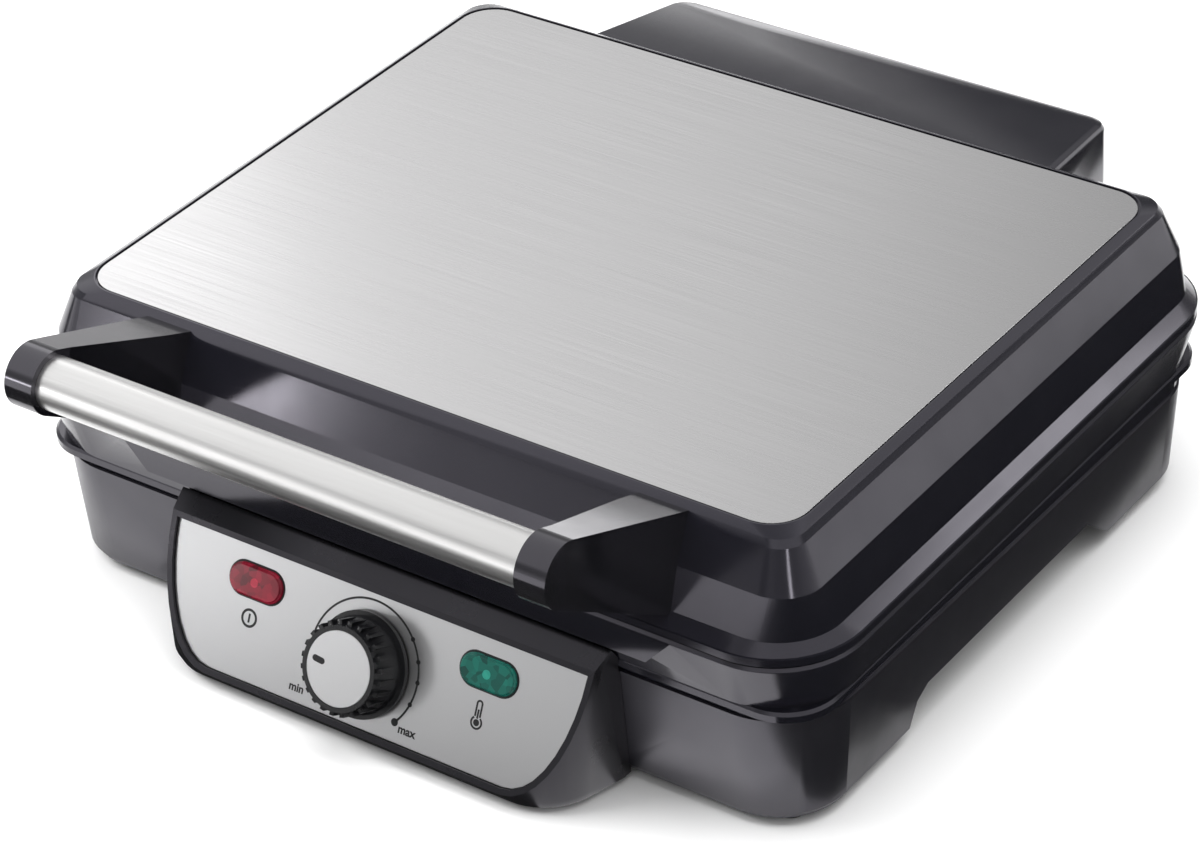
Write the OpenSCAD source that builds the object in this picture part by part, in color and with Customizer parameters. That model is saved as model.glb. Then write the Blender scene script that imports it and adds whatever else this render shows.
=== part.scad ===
// Waffle maker with two rectangular plates, a hinged lid and a thermostat in front.
// X runs to the right, -Y is the front and Z is up. Z = 0 is the table.

/* [Lid] */
// Width of the steel sheet on the lid
sheet_w = 270; // [240:1:300]
// Depth of the steel sheet on the lid
sheet_d = 219; // [200:1:240]
// Corner radius of the steel sheet
sheet_r = 12.5; // [8:0.5:20]
// Thickness of the steel sheet
sheet_t = 0.8; // [0.5:0.1:1.5]
// Groove left round the steel sheet
sheet_gap = 0.5; // [0.3:0.1:1]
// Height of the lid's top above the table
lid_top = 104; // [98:1:115]
// How far the rounded rim stands out past the sheet
rim_out = 5; // [3:0.5:6]
// How far the rounded rim drops
rim_drop = 3.9; // [3:0.1:6]
// How far the bevel below the rim runs outwards
bevel_out = 5.6; // [4:0.2:9]
// Height of the bevel below the rim
bevel_drop = 13.6; // [9:0.2:16]
// How far the side wall leans outwards on its way down
wall_out = 3.9; // [2:0.1:6]
// Height of the leaning side wall
wall_drop = 14; // [11:0.5:17]
// How far the lip at the lid's lower edge stands out of the side wall
lip_out = 5; // [3:0.5:7]
// Thickness of the lip at the lid's lower edge
lip_t = 2.6; // [2:0.2:4]
// Wall of the lid shell
lid_wall = 2.8; // [2:0.1:3.5]
// Corner radius of the crown round the sheet
crown_r = 9; // [6:0.5:14]
// Corner radius at the foot of the bevel
bevel_r = 14; // [10:0.5:20]
// Corner radius at the foot of the lid's wall
wall_r = 22; // [14:0.5:26]
// Growth of the rim's and base's corner radius for each millimetre they stand out
corner_growth = 0.9; // [0.7:0.05:1]

/* [Base] */
// Gap between the lid's lower edge and the base at rest
parting_gap = 1; // [0.8:0.1:2]
// Wall of the base housing
base_wall = 2.8; // [2:0.1:3.5]
// How far the collar's lower edge lies inside the rim
collar_in = 5.4; // [3:0.2:7]
// Height of the collar in front
collar_h = 22.5; // [18:0.5:23]
// How far the flange at the collar's foot stands out past the collar
flange_out = 1.5; // [1:0.1:3]
// Height of the flange
flange_h = 3.2; // [2:0.1:4]
// How much lower the flange lies at the hinge than in front
flange_fall = 1.5; // [0:0.5:3]
// Corner radius of the flange
flange_r = 18; // [14:1:24]
// Height of the groove between the flange and the skirt
groove_h = 2.3; // [0.8:0.1:3]
// How much deeper the collar is at the hinge than in front
collar_rise = 5.5; // [2:0.5:6]
// How far the skirt stands out past the collar's lower edge
skirt_step = 0.9; // [0.4:0.1:1.5]
// How far the skirt tapers inwards on its way down
skirt_taper = 2.6; // [1:0.2:5]
// Height of the skirt's lower edge above the table
skirt_foot = 3; // [2:0.5:5]
// Height of the arch between the legs above the table
arch_h = 17.5; // [12:0.5:22]
// Length of the arch in front of the lid's middle
arch_front = 52; // [30:1:60]
// Length of the arch behind the lid's middle
arch_back = 47; // [30:1:55]
// How far the arch's front end slants
arch_front_slant = 12; // [4:1:16]
// How far the arch's rear end slants
arch_back_slant = 24; // [8:1:26]
// Thickness of the floor plate
floor_t = 2.4; // [1.6:0.2:4]
// Width of the chin in front at its top
chin_w = 212; // [190:1:220]
// How much each end of the chin slants inwards
chin_slant = 9; // [4:1:14]
// Height of the chin in front
chin_h = 9.8; // [7:0.2:13]

/* [Cord inlet] */
// Diameter of the hole in the cord's grommet
cord_d = 7.4; // [6:0.1:9]
// Diameter of the grommet in the rear wall
gland_d = 12; // [11:0.5:12.5]
// Height of the grommet above the table
gland_z = 28.8; // [28.4:0.1:29]

/* [Feet] */
// Diameter of a rubber foot
foot_d = 12; // [9:0.5:14]
// Length of a foot's plug in its socket
foot_plug = 3; // [2:0.5:5]

/* [Control box] */
// Width of the brushed panel at its top
panel_w = 160; // [140:1:170]
// Length of the brushed panel down its slope
panel_l = 43.3; // [38:0.1:44]
// Thickness of the brushed panel
panel_t = 0.8; // [0.5:0.1:1.5]
// Tilt of the panel from upright
panel_tilt = 25.5; // [18:0.5:32]
// Distance of the panel's top edge in front of the rim
panel_out = 5.8; // [4:0.1:8]
// Distance of the panel's top edge below the rim
panel_down = 19.3; // [16:0.1:22]
// Border of the control box round the panel
box_border = 3.2; // [2.5:0.1:5]
// Depth of the panel in its recess
panel_sink = 1.2; // [0.6:0.1:2]
// Half the width of the control box where it meets the base
box_root = 84; // [82:0.5:88]
// Wall of the control box
box_wall = 2.6; // [2:0.1:3.5]

/* [Lamps] */
// Width of a lens
lens_w = 21; // [16:0.5:26]
// Height of a lens
lens_h = 10.5; // [8:0.5:13]
// How far a lens stands out of the panel
lens_out = 1.6; // [0.8:0.1:3]
// Distance of a lens from the middle of the panel
lens_x = 45.5; // [40:0.5:52]
// Distance of a lens below the panel's top edge
lens_v = 11; // [9:0.5:14]
// Diameter of a neon lamp
lamp_d = 6.4; // [5:0.2:8]
// Length of a neon lamp
lamp_l = 14; // [10:0.5:18]

/* [Thermostat] */
// Distance of the knob below the panel's top edge
knob_v = 23; // [21:0.5:25]
// Diameter of the knob at its foot
knob_d = 34.4; // [30:0.2:36]
// Diameter of the knob at its front
knob_top_d = 27.4; // [25:0.2:30]
// Height of the knob
knob_h = 13; // [10:0.5:18]
// Gap between the knob and the panel
knob_gap = 0.6; // [0.4:0.1:1.5]
// Number of grip ribs round the knob
knob_ribs = 24; // [16:1:30]
// Diameter of the steel disc on the knob
cap_d = 24.2; // [20:0.2:25]
// Thickness of the steel disc on the knob
cap_t = 0.8; // [0.5:0.1:1.2]
// Diameter of the thermostat's shaft
shaft_d = 6; // [5:0.5:8]
// Radial running clearance of the shaft
shaft_clear = 0.05; // [0.02:0.01:0.1]
// Width of the thermostat
stat_w = 22; // [18:1:24]
// Depth of the thermostat
stat_d = 14; // [10:1:16]

/* [Waffle plates] */
// Width of a waffle plate
plate_w = 284; // [274:1:286]
// Depth of a waffle plate
plate_d = 230; // [222:1:232]
// Thickness of a waffle plate
plate_t = 3.2; // [2.5:0.1:4]
// Depth of a waffle well
well_depth = 12.5; // [9:0.5:14]
// Pitch of the waffle pockets across
pitch_x = 30; // [26:0.5:31]
// Pitch of the waffle pockets front to back
pitch_y = 31; // [26:0.5:33]
// Number of pockets across each waffle
pockets_x = 4; // [3:1:4]
// Number of pockets front to back in each waffle
pockets_y = 6; // [4:1:6]
// Size of a peg at its foot
peg_foot = 20; // [16:0.5:22]
// Size of a peg at its tip
peg_tip = 15; // [11:0.5:17]
// Gap between the tips of facing pegs
tip_gap = 5.6; // [5:0.2:8]
// Land between the two waffles
land_w = 10; // [8:1:12]
// Gap between the rims of the closed plates
rim_gap = 0.6; // [0.6:0.1:1]
// Diameter of the tubular heater
heater_d = 6.5; // [5:0.5:8]
// Thickness of the reflector trays
tray_t = 0.8; // [0.6:0.1:1.2]
// Depth of the reflector trays
tray_depth = 24; // [21:0.5:26]

/* [Hinge] */
// Distance of the hinge axis behind the rim of the base
hinge_out = 17.2; // [15:0.1:20]
// Height of the hinge axis above the base's rim
hinge_up = 2.7; // [2.4:0.1:3.2]
// Diameter of a hinge pin
pin_d = 6; // [5:0.5:7]
// Radial running clearance of a hinge pin
pin_clear = 0.05; // [0.02:0.01:0.1]
// Distance of a hinge ear from the middle
ear_x = 70; // [60:1:74]
// Thickness of a hinge ear
ear_t = 8; // [6:0.5:10]
// Diameter of a hinge ear's boss
ear_d = 14; // [12:0.5:15]
// Width of the hinge cover where it leaves the lid
cover_w = 189; // [182:1:190]
// How much each end of the hinge cover tapers on its way back
cover_taper = 6.5; // [3:0.5:8]
// How far the hinge cover stands out behind the hinge axis
cover_out = 20; // [17:0.1:21]
// Distance of the hinge cover's top below the lid's top
cover_drop = 4.2; // [3:0.1:6]
// How much the hinge cover's top falls on its way back
cover_fall = 6.6; // [4:0.1:9]
// Radius of the hinge cover's rear corners
cover_r = 7; // [5:0.5:12]
// Wall of the hinge cover
cover_wall = 2.6; // [2:0.1:3.5]

/* [Handle] */
// Diameter of the handle bar
bar_d = 17.4; // [15:0.2:19]
// Wall of the handle bar
bar_wall = 1.5; // [1:0.1:2.5]
// Distance of the handle bar in front of the lid's sheet
bar_out = 61.6; // [54:0.2:68]
// Height of the handle bar above the lid's top
bar_up = 10; // [0:0.5:14]
// Diameter of an arm's nose round the bar
nose_d = 21.4; // [20:0.2:24]
// Distance of an arm's inner side from the middle at the lid
arm_in = 85.4; // [80:0.2:90]
// Thickness of an arm at the lid
arm_t = 18.8; // [14:0.2:22]
// How much an arm's inner side moves outwards towards its nose
arm_toe = 5.3; // [2:0.1:8]
// Thickness of an arm at its nose
nose_t = 10.9; // [9:0.1:14]
// How far an arm's foot reaches down over the flare of the rim
arm_foot = 1.5; // [0:0.5:3]

/* [Fasteners] */
// Diameter of a screw shank
screw_d = 3; // [2.5:0.5:4]
// Diameter of a screw head
head_d = 6; // [5:0.5:7]
// Height of a screw head
head_h = 2; // [1.5:0.1:3]
// Diameter of a screw boss
boss_d = 8; // [7:0.5:10]

/* [Hidden] */
$fn = 64;
hull_fn = 48;
slice = 0.2;
joint_gap = 0.3;
press_fit = 0.02;
shaft_in = 8;
gland_in = 7;
gland_out = 3.4;
gland_lip_t = 2.8;
lens_flange_t = 1.2;
black = "#26262b";
dark = "#1b1b1e";
steel = "#c9cacd";
cast = "#3a3a3d";
rubber = "#1f1f1f";

// the lid's sheet is centred behind the origin, so that the whole stands centred on it
lid_y = 7.9;
// the housing follows the sheet, or the plates where they need more room
plate_out_x = 7;
plate_out_y = 5.5;
body_w = max(sheet_w, plate_w - 2 * plate_out_x);
body_d = max(sheet_d, plate_d - 2 * plate_out_y);
// how far each ring of the outline stands out past the sheet
out_rim = rim_out;
out_bevel = out_rim + bevel_out;
out_wall = out_bevel + wall_out;
out_lip = out_wall + lip_out;
z_rim = lid_top - rim_drop;
z_bevel = z_rim - bevel_drop;
z_wall = z_bevel - wall_drop;
lip_drop = 3.4;
z_sheet = lid_top - sheet_t - 0.6;
sheet_proud = 0.4;
sheet_play = 0.3;
crown_edge = 1.3;
crown_drop = 1.7;
rim_edge = 1.2;
z_lip = z_wall - lip_drop;
z_lid = z_lip - lip_t;
z_base = z_lid - parting_gap;
out_collar = out_lip - collar_in;
z_edge = z_base - rim_edge;
z_chin = z_edge - chin_h;
z_collar = z_base - collar_h;
out_flange = out_collar + flange_out;
z_flange = z_collar + groove_h;
out_skirt = out_collar + skirt_step;
out_skirt_low = out_skirt - skirt_taper;
foot_edge = 2.5;
out_foot = out_skirt_low - 1.6;
z_part = (z_lid + z_base) / 2;
front_rim_y = front_y(out_lip);

// waffle plates
z_lower_rim = z_part - rim_gap / 2;
z_upper_rim = z_part + rim_gap / 2;
rim_x = 10.4;
rim_y = 17.4;
well_wall = 2.6;
well_w = (plate_w - land_w) / 2 - rim_x - well_wall;
well_d = plate_d - 2 * (rim_y + well_wall);
well_r = 5;
drip_in_x = 3.5;
drip_in_y = 8;
drip_w = 4;
drip_r = 15;
drip_depth = 1.4;
well_x = (well_w + land_w) / 2;
peg_h = well_depth + rim_gap / 2 - tip_gap / 2;
shelf_t = 2.4;
shelf_lap = 4;
shelf_clear = 0.6;
ledge_w = 2.5;
frame_screw_out = 4.4;
opening_w = plate_w + 2 * shelf_clear;
opening_d = plate_d + 2 * shelf_clear;
opening_r = 20;
heater_in_x = 30;
heater_in_y = 28;
heater_ring_w = 2 * (well_w - heater_in_x) + land_w;
heater_ring_d = well_d - 2 * heater_in_y;
heater_r = 26;
tray_room = 2.5;
tray_w = 2 * (well_x + well_w / 2 + well_wall + tray_room);
tray_d = well_d + 2 * (well_wall + tray_room);
tray_r = 14;
z_lower_seat = z_lower_rim - plate_t;
z_upper_seat = z_upper_rim + plate_t;
z_lower_heater = z_lower_rim - well_depth - plate_t - heater_d / 2;
z_upper_heater = z_upper_rim + well_depth + plate_t + heater_d / 2;

// the floor plate closes the base above the arches
floor_rise = 1.5;
floor_lap = 0.6;
z_floor = arch_h + floor_rise;
floor_out = out_skirt_low - base_wall + floor_lap;

// the control panel's own frame: x across, y up the slope, z out of it
panel_y = front_rim_y - panel_out;
panel_z = z_base - panel_down;
box_low = skirt_foot - 0.5;
box_back = front_y(out_collar + 1.5);
box_front = panel_y - (panel_z - box_low - 3) * tan(panel_tilt);
box_r = 20;

// hinge axis
rear_rim_y = rear_y(out_lip);
hinge_y = rear_rim_y + hinge_out;
hinge_z = z_base + hinge_up;
cover_back = hinge_y + cover_out;
cover_top = lid_top - cover_drop;
knuckle_t = 5;
knuckle_gap = 0.5;
pin_l = ear_t + 2 * knuckle_gap + 2 * knuckle_t;
bush_wall = 1.5;
bush_d = pin_d + 2 * pin_clear + 2 * bush_wall;

// handle
bar_y = front_y(0) - bar_out;
bar_z = lid_top + bar_up;
nose_in = arm_in + arm_toe;
spigot_l = 9;
rod_d = 5;
rod_in = 7;

// a distance past every outline, for cutters
beyond = 40;

function front_y(out) = lid_y - body_d / 2 - out;
function rear_y(out) = lid_y + body_d / 2 + out;
function side_x(out) = body_w / 2 + out;
function corner_r(out) = max(2, sheet_r + out * corner_growth);

// ---------------------------------------------------------------- shared shapes

module rounded(w, d, r) {
    square([w - 2 * r, d], center = true);
    square([w, d - 2 * r], center = true);
    for (x = [-1, 1], y = [-1, 1])
        translate([x * (w / 2 - r), y * (d / 2 - r)]) circle(r);
}

module outline(out) {
    rounded(2 * side_x(out), body_d + 2 * out, corner_r(out));
}

// a thin slice of the outline, with its underside at height z
module ring_slice(out, z, t = slice, r = undef) {
    translate([0, lid_y, z]) linear_extrude(t)
        rounded(2 * side_x(out), body_d + 2 * out, is_undef(r) ? corner_r(out) : r, $fn = hull_fn);
}

module prism(out, z0, z1) {
    translate([0, lid_y, z0]) linear_extrude(z1 - z0) outline(out);
}

module sheet_prism(g, z0, z1) {
    plate_prism(sheet_w + 2 * g, sheet_d + 2 * g, corner_r(g), z0, z1);
}

module plate_prism(w, d, r, z0, z1) {
    translate([0, lid_y, z0]) linear_extrude(z1 - z0) rounded(w, d, r);
}

// profile drawn in (y, z), extruded along x
module along_x(x0, x1) {
    translate([x0, 0, 0]) rotate([90, 0, 90]) linear_extrude(x1 - x0) children();
}

// ---------------------------------------------------------------- lid

module lid_outer() {
    hull() {
        ring_slice(1, lid_top - 0.6, 0.6);
        ring_slice(out_rim - crown_edge, lid_top - crown_drop, r = crown_r);
        ring_slice(out_rim, z_rim, r = crown_r);
        ring_slice(out_bevel, z_bevel, r = bevel_r);
        ring_slice(out_wall, z_wall, r = wall_r);
    }
}

module lid_lip() {
    hull() {
        ring_slice(out_wall - 0.1, z_wall, r = wall_r);
        ring_slice(out_lip - 0.5, z_lip);
    }
    prism(out_lip, z_lid, z_lip);
}

module lid_inner() {
    hull() {
        ring_slice(-1, lid_top - sheet_t - 2 * lid_wall);
        ring_slice(out_bevel - lid_wall, z_bevel, r = bevel_r);
        ring_slice(out_wall - lid_wall, z_wall, r = wall_r);
    }
}

module lid_shell() {
    color(black) difference() {
        union() {
            lid_outer();
            lid_lip();
        }
        lid_inner();
        prism(out_wall - lid_wall, z_lid - 1, z_wall + slice);
        sheet_prism(0, z_sheet, lid_top + 1);
        sheet_prism(sheet_gap, z_sheet + sheet_t / 2, lid_top + 1);
        lid_frame_screws(z_upper_seat - 1, 4);
    }
}

module lid_sheet() {
    color(steel) translate([0, lid_y, z_sheet]) linear_extrude(sheet_t + sheet_proud)
        rounded(sheet_w - sheet_play, sheet_d - sheet_play, sheet_r - 0.1);
}

// inner frame that carries the upper plate and its tray
module lid_frame() {
    color(dark) difference() {
        union() {
            prism(out_wall - lid_wall - joint_gap, z_upper_seat + tray_t, z_upper_seat + tray_t + shelf_t);
            plate_prism(opening_w + 2 * ledge_w, opening_d + 2 * ledge_w, opening_r + 2, z_lid + 0.4, z_upper_seat + tray_t + shelf_t);
        }
        plate_prism(opening_w, opening_d, opening_r, z_lid - 1, z_upper_seat + tray_t);
        plate_prism(plate_w - 2 * shelf_lap, plate_d - 2 * shelf_lap, opening_r - shelf_lap,
            z_lid, z_upper_seat + tray_t + shelf_t + 1);
        lid_frame_screws(z_upper_seat - 4, 12);
    }
}

module lid_frame_screws(z, h) {
    for (x = [-1, 1], y = [-1, 1])
        translate([x * (plate_w / 2 + frame_screw_out), lid_y + y * plate_d * 0.3, z])
            cylinder(d = screw_d, h = h, $fn = 24);
}

// ---------------------------------------------------------------- waffle plates

// teeth of one row of pegs, drawn upwards from z = 0
module comb(count, pitch, tips_up) {
    for (i = [0 : count - 1])
        translate([(i - (count - 1) / 2) * pitch, 0])
            polygon([[-peg_foot / 2, -1], [-peg_foot / 2, 0], [-peg_tip / 2, tips_up], [peg_tip / 2, tips_up],
                [peg_foot / 2, 0], [peg_foot / 2, -1]]);
}

// pegs are what two crossed combs have in common
module pegs() {
    intersection() {
        rotate([90, 0, 0]) linear_extrude(well_d, center = true) comb(pockets_x, pitch_x, peg_h);
        rotate([90, 0, 90]) linear_extrude(well_w, center = true) comb(pockets_y, pitch_y, peg_h);
    }
}

// a waffle plate with its face at z = 0 looking up and its wells below
module waffle_plate() {
    difference() {
        union() {
            translate([0, 0, -plate_t]) linear_extrude(plate_t) rounded(plate_w, plate_d, opening_r - shelf_clear);
            for (s = [-1, 1]) translate([s * well_x, 0, -well_depth - plate_t]) linear_extrude(well_depth + plate_t)
                rounded(well_w + 2 * well_wall, well_d + 2 * well_wall, well_r + 3);
            heater_seat();
        }
        for (s = [-1, 1]) translate([s * well_x, 0, -well_depth]) linear_extrude(well_depth + 1)
            rounded(well_w, well_d, well_r);
        drip_groove();
    }
    for (s = [-1, 1]) translate([s * well_x, 0, -well_depth]) pegs();
}

// channel that catches what runs over
module drip_groove() {
    w = plate_w - 2 * drip_in_x;
    d = plate_d - 2 * drip_in_y;
    translate([0, 0, -drip_depth]) linear_extrude(drip_depth + 1) difference() {
        rounded(w, d, drip_r);
        rounded(w - 2 * drip_w, d - 2 * drip_w, drip_r - drip_w);
    }
}

// four pads under the wells that the heater rests against
module heater_seat() {
    for (x = [-1, 1], y = [-1, 1])
        translate([x * heater_ring_w / 2, y * heater_ring_d * 0.28, -well_depth - plate_t - heater_d / 2])
            difference() {
                translate([-heater_d, -6, 0]) cube([2 * heater_d, 12, heater_d / 2 + 0.5]);
                rotate([90, 0, 0]) cylinder(d = heater_d + 0.1, h = 14, center = true);
            }
}

// tube bent into a ring that stays open at the back, with its ends turned out of the tray
module heater_ring() {
    w = heater_ring_w / 2;
    d = heater_ring_d / 2;
    end_x = 22;
    for (s = [-1, 1]) scale([s, 1, 1]) {
        translate([w, d - heater_r, 0]) rotate([90, 0, 0]) cylinder(d = heater_d, h = 2 * (d - heater_r));
        translate([w - heater_r, -d + heater_r, 0]) rotate([0, 0, -90])
            rotate_extrude(angle = 90) translate([heater_r, 0]) circle(d = heater_d);
        translate([w - heater_r, d - heater_r, 0])
            rotate_extrude(angle = 90) translate([heater_r, 0]) circle(d = heater_d);
        translate([end_x, d, 0]) rotate([0, 90, 0]) cylinder(d = heater_d, h = w - heater_r - end_x);
    }
    translate([-w + heater_r, -d, 0]) rotate([0, 90, 0]) cylinder(d = heater_d, h = 2 * (w - heater_r));
}

// pressed tray: flange at z = 0, pan below
module tray() {
    difference() {
        union() {
            linear_extrude(tray_t) rounded(plate_w - 2, plate_d - 2, opening_r - shelf_clear - 1);
            translate([0, 0, -tray_depth]) linear_extrude(tray_depth + tray_t / 2)
                rounded(tray_w, tray_d, tray_r);
        }
        translate([0, 0, tray_t - tray_depth]) linear_extrude(tray_depth + 1)
            rounded(tray_w - 2 * tray_t, tray_d - 2 * tray_t, tray_r - tray_t);
    }
}

module lower_plate() { color(cast) translate([0, lid_y, z_lower_rim]) waffle_plate(); }
module upper_plate() { color(cast) translate([0, lid_y, z_upper_rim]) rotate([180, 0, 0]) waffle_plate(); }
module lower_heater() { color("#8a8a8c") translate([0, lid_y, z_lower_heater]) heater_ring(); }
module upper_heater() { color("#8a8a8c") translate([0, lid_y, z_upper_heater]) heater_ring(); }
module lower_tray() { color("silver") translate([0, lid_y, z_lower_seat - tray_t]) tray(); }
module upper_tray() { color("silver") translate([0, lid_y, z_upper_seat + tray_t]) rotate([180, 0, 0]) tray(); }

// ---------------------------------------------------------------- base

// everything below a plane that falls towards the hinge
module below_collar() {
    fall = collar_rise / (body_d + 2 * out_skirt);
    along_x(-side_x(beyond), side_x(beyond)) polygon([
        [front_y(beyond), -10], [rear_y(beyond), -10],
        [rear_y(beyond), z_collar - fall * (rear_y(beyond) - front_y(out_skirt))],
        [front_y(beyond), z_collar - fall * (front_y(beyond) - front_y(out_skirt))]]);
}

// rim and collar of the frame
module frame_outer() {
    hull() {
        ring_slice(out_lip - 0.8, z_base - slice);
        ring_slice(out_lip, z_edge);
        ring_slice(out_collar, z_collar);
    }
    prism(out_collar, z_collar - collar_rise - 1, z_collar);
}

// bead round the foot of the collar, a little lower at the hinge
module flange() {
    w = 2 * side_x(out_flange);
    d = body_d + 2 * out_flange;
    translate([0, front_y(out_flange), z_flange]) rotate([-atan(flange_fall / d), 0, 0])
        translate([0, d / 2, 0]) hull() {
            linear_extrude(flange_h - flange_out * 0.6) rounded(w, d, flange_r, $fn = hull_fn);
            linear_extrude(flange_h) rounded(w - flange_out, d - flange_out, flange_r, $fn = hull_fn);
        }
}

module frame_inner() {
    hull() {
        ring_slice(out_lip - base_wall - 1.4, z_lower_seat - 4);
        ring_slice(out_collar - base_wall, z_collar);
    }
    prism(out_collar - base_wall, 0, z_collar + slice);
    prism(out_lip - base_wall - 1.4, z_lower_seat - 4, z_base + 1);
}

// ring below the collar that reaches into the skirt
tongue_h = 1.5;
module frame_tongue() {
    difference() {
        prism(out_skirt - base_wall - 0.7, z_collar - collar_rise - tongue_h, z_collar);
        prism(out_skirt - base_wall - 2.4, 0, z_collar + 1);
    }
}

module skirt_outer() {
    intersection() {
        hull() {
            ring_slice(out_skirt, z_collar - slice);
            ring_slice(out_skirt_low, skirt_foot + foot_edge);
            ring_slice(out_foot, skirt_foot);
        }
        below_collar();
    }
}

module skirt_inner() {
    hull() {
        ring_slice(out_skirt - base_wall, z_collar);
        ring_slice(out_skirt_low - base_wall, skirt_foot - 1);
    }
}

// shelf that carries the tray and the lower plate
module base_shelf() {
    difference() {
        union() {
            prism(out_lip - base_wall - 1, z_base - 3, z_base - slice);
            plate_prism(opening_w + 2 * ledge_w, opening_d + 2 * ledge_w, opening_r + 2, z_lower_seat - tray_t - shelf_t, z_base - slice);
        }
        plate_prism(opening_w, opening_d, opening_r, z_lower_seat - tray_t, z_base + 1);
        plate_prism(plate_w - 2 * shelf_lap, plate_d - 2 * shelf_lap, opening_r - shelf_lap,
            z_lower_seat - tray_t - shelf_t - 1, z_base);
    }
}

// smooth front between the rim and the control box
module chin() {
    translate([0, front_rim_y + 8, 0]) rotate([90, 0, 0]) linear_extrude(8.3) polygon([
        [-chin_w / 2, z_edge], [chin_w / 2, z_edge],
        [chin_w / 2 - chin_slant, z_chin], [-chin_w / 2 + chin_slant, z_chin]]);
}

module arch_cut() {
    translate([0, lid_y, 0]) along_x(-side_x(beyond), side_x(beyond)) polygon([
        [-arch_front - arch_front_slant, 0], [-arch_front - arch_front_slant / 2, arch_h - 3.5],
        [-arch_front, arch_h], [arch_back, arch_h],
        [arch_back + arch_back_slant * 0.55, arch_h * 0.4], [arch_back + arch_back_slant, 0]]);
}

leg_in = 14;
leg_x = side_x(out_skirt_low) - leg_in;
front_leg_y = front_y(out_skirt_low) + leg_in;
rear_leg_y = lid_y + arch_back + arch_back_slant + 3;
box_foot_in = [12, 17];
box_foot = [box_root - box_foot_in[0], box_front + box_foot_in[1]];
boss_rows = [-78, 0, 90];
boss_h = 14;
boss_rib = [6, 3];
screw_l = 12;
leg_w = 30;

// the screw bosses stand along the two side walls of the skirt
function boss_places() = [for (x = [-1, 1], y = boss_rows)
    [x * (side_x(out_skirt_low - base_wall) - head_d / 2 - 0.5), lid_y + y]];

module boss(p) {
    translate([p[0], p[1], z_floor + floor_t]) {
        cylinder(d = boss_d, h = boss_h);
        translate([p[0] > 0 ? 0 : -boss_rib[0], -boss_rib[1] / 2, 0]) cube([boss_rib[0], boss_rib[1], boss_h]);
    }
}

// solid shoe in each leg with the socket of its foot
module leg_shoe(x, y, l) {
    intersection() {
        translate([x, y, (skirt_foot + z_floor) / 2]) cube([leg_w, l, z_floor - skirt_foot], center = true);
        prism(out_foot, skirt_foot, z_floor);
    }
}

module base_frame() {
    color(black) difference() {
        union() {
            difference() {
                union() {
                    frame_outer();
                    flange();
                }
                frame_inner();
                below_collar();
                box_window();
            }
            frame_tongue();
            base_shelf();
            difference() {
                chin();
                prism(out_collar - 1, 0, z_base + 1);
            }
            for (s = [-1, 1]) hinge_ear(s);
        }
        box_window();
        for (s = [-1, 1]) translate([s * ear_x, hinge_y, hinge_z]) rotate([0, 90, 0])
            cylinder(d = bush_d, h = ear_t + 2, center = true);
    }
}

module base_skirt() {
    color(black) difference() {
        union() {
            difference() {
                skirt_outer();
                skirt_inner();
                arch_cut();
                box_window();
            }
            for (p = boss_places()) boss(p);
            for (s = [-1, 1]) {
                leg_shoe(s * leg_x, front_leg_y, 30);
                leg_shoe(s * leg_x, rear_leg_y, 14);
            }
        }
        for (p = boss_places())
            translate([p[0], p[1], z_floor]) cylinder(d = screw_d, h = boss_h, $fn = 24);
        for (x = [-leg_x, leg_x], y = [front_leg_y, rear_leg_y]) socket(x, y, skirt_foot);
        translate([0, rear_y(0), gland_z]) rotate([-90, 0, 0]) cylinder(d = gland_d, h = beyond);
    }
}

// ear behind the rim that carries a hinge bush
module hinge_ear(s) {
    root_y = rear_y(out_collar - 0.5);
    ear_foot = z_collar - collar_rise + 0.5;
    translate([s * ear_x, 0, 0]) along_x(-ear_t / 2, ear_t / 2) {
        translate([hinge_y, hinge_z]) circle(d = ear_d);
        polygon([[rear_y(out_lip - 1), z_edge], [hinge_y - ear_d * 0.4, z_edge], [hinge_y, hinge_z],
            [hinge_y + ear_d * 0.45, hinge_z - ear_d * 0.21],
            [root_y, ear_foot], [root_y - base_wall, ear_foot], [root_y - base_wall, z_base - 3]]);
    }
}

module base_floor() {
    color(dark) difference() {
        prism(floor_out - 0.4, z_floor, z_floor + floor_t);
        for (p = boss_places()) translate([p[0], p[1], z_floor - 1]) cylinder(d = screw_d + 0.4, h = 10, $fn = 24);
    }
}

// grommet for the cord in the rear wall
module cord_gland() {
    color(rubber) translate([0, rear_y(out_collar), gland_z]) rotate([-90, 0, 0]) difference() {
        union() {
            translate([0, 0, -gland_in]) cylinder(d = gland_d - 0.1, h = gland_in + gland_out);
            translate([0, 0, gland_out - gland_lip_t]) cylinder(d = gland_d + 5, h = gland_lip_t);
            translate([0, 0, -gland_in]) cylinder(d = gland_d + 2, h = gland_in - base_wall - 0.8);
        }
        translate([0, 0, -gland_in - 1]) cylinder(d = cord_d, h = gland_in + gland_out + 2);
    }
}

// ---------------------------------------------------------------- control box

module on_panel() {
    translate([0, panel_y, panel_z]) rotate([90 - panel_tilt, 0, 0]) children();
}

// how far the panel's sides run inwards to its foot, and how full their curve is
panel_in = 22;
panel_bow = 1.05;

// the panel's outline, from its top edge down the slope, grown by g
module panel_outline(g = 0) {
    half = panel_w / 2;
    low = panel_l;
    offset(delta = g) polygon(concat(
        [[-half, 0], [half, 0]],
        [for (t = [10 : 10 : 90]) [half - panel_in * (1 - cos(t)), -low * pow(sin(t), panel_bow)]],
        [for (t = [90 : -10 : 10]) [-half + panel_in * (1 - cos(t)), -low * pow(sin(t), panel_bow)]]));
}

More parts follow.
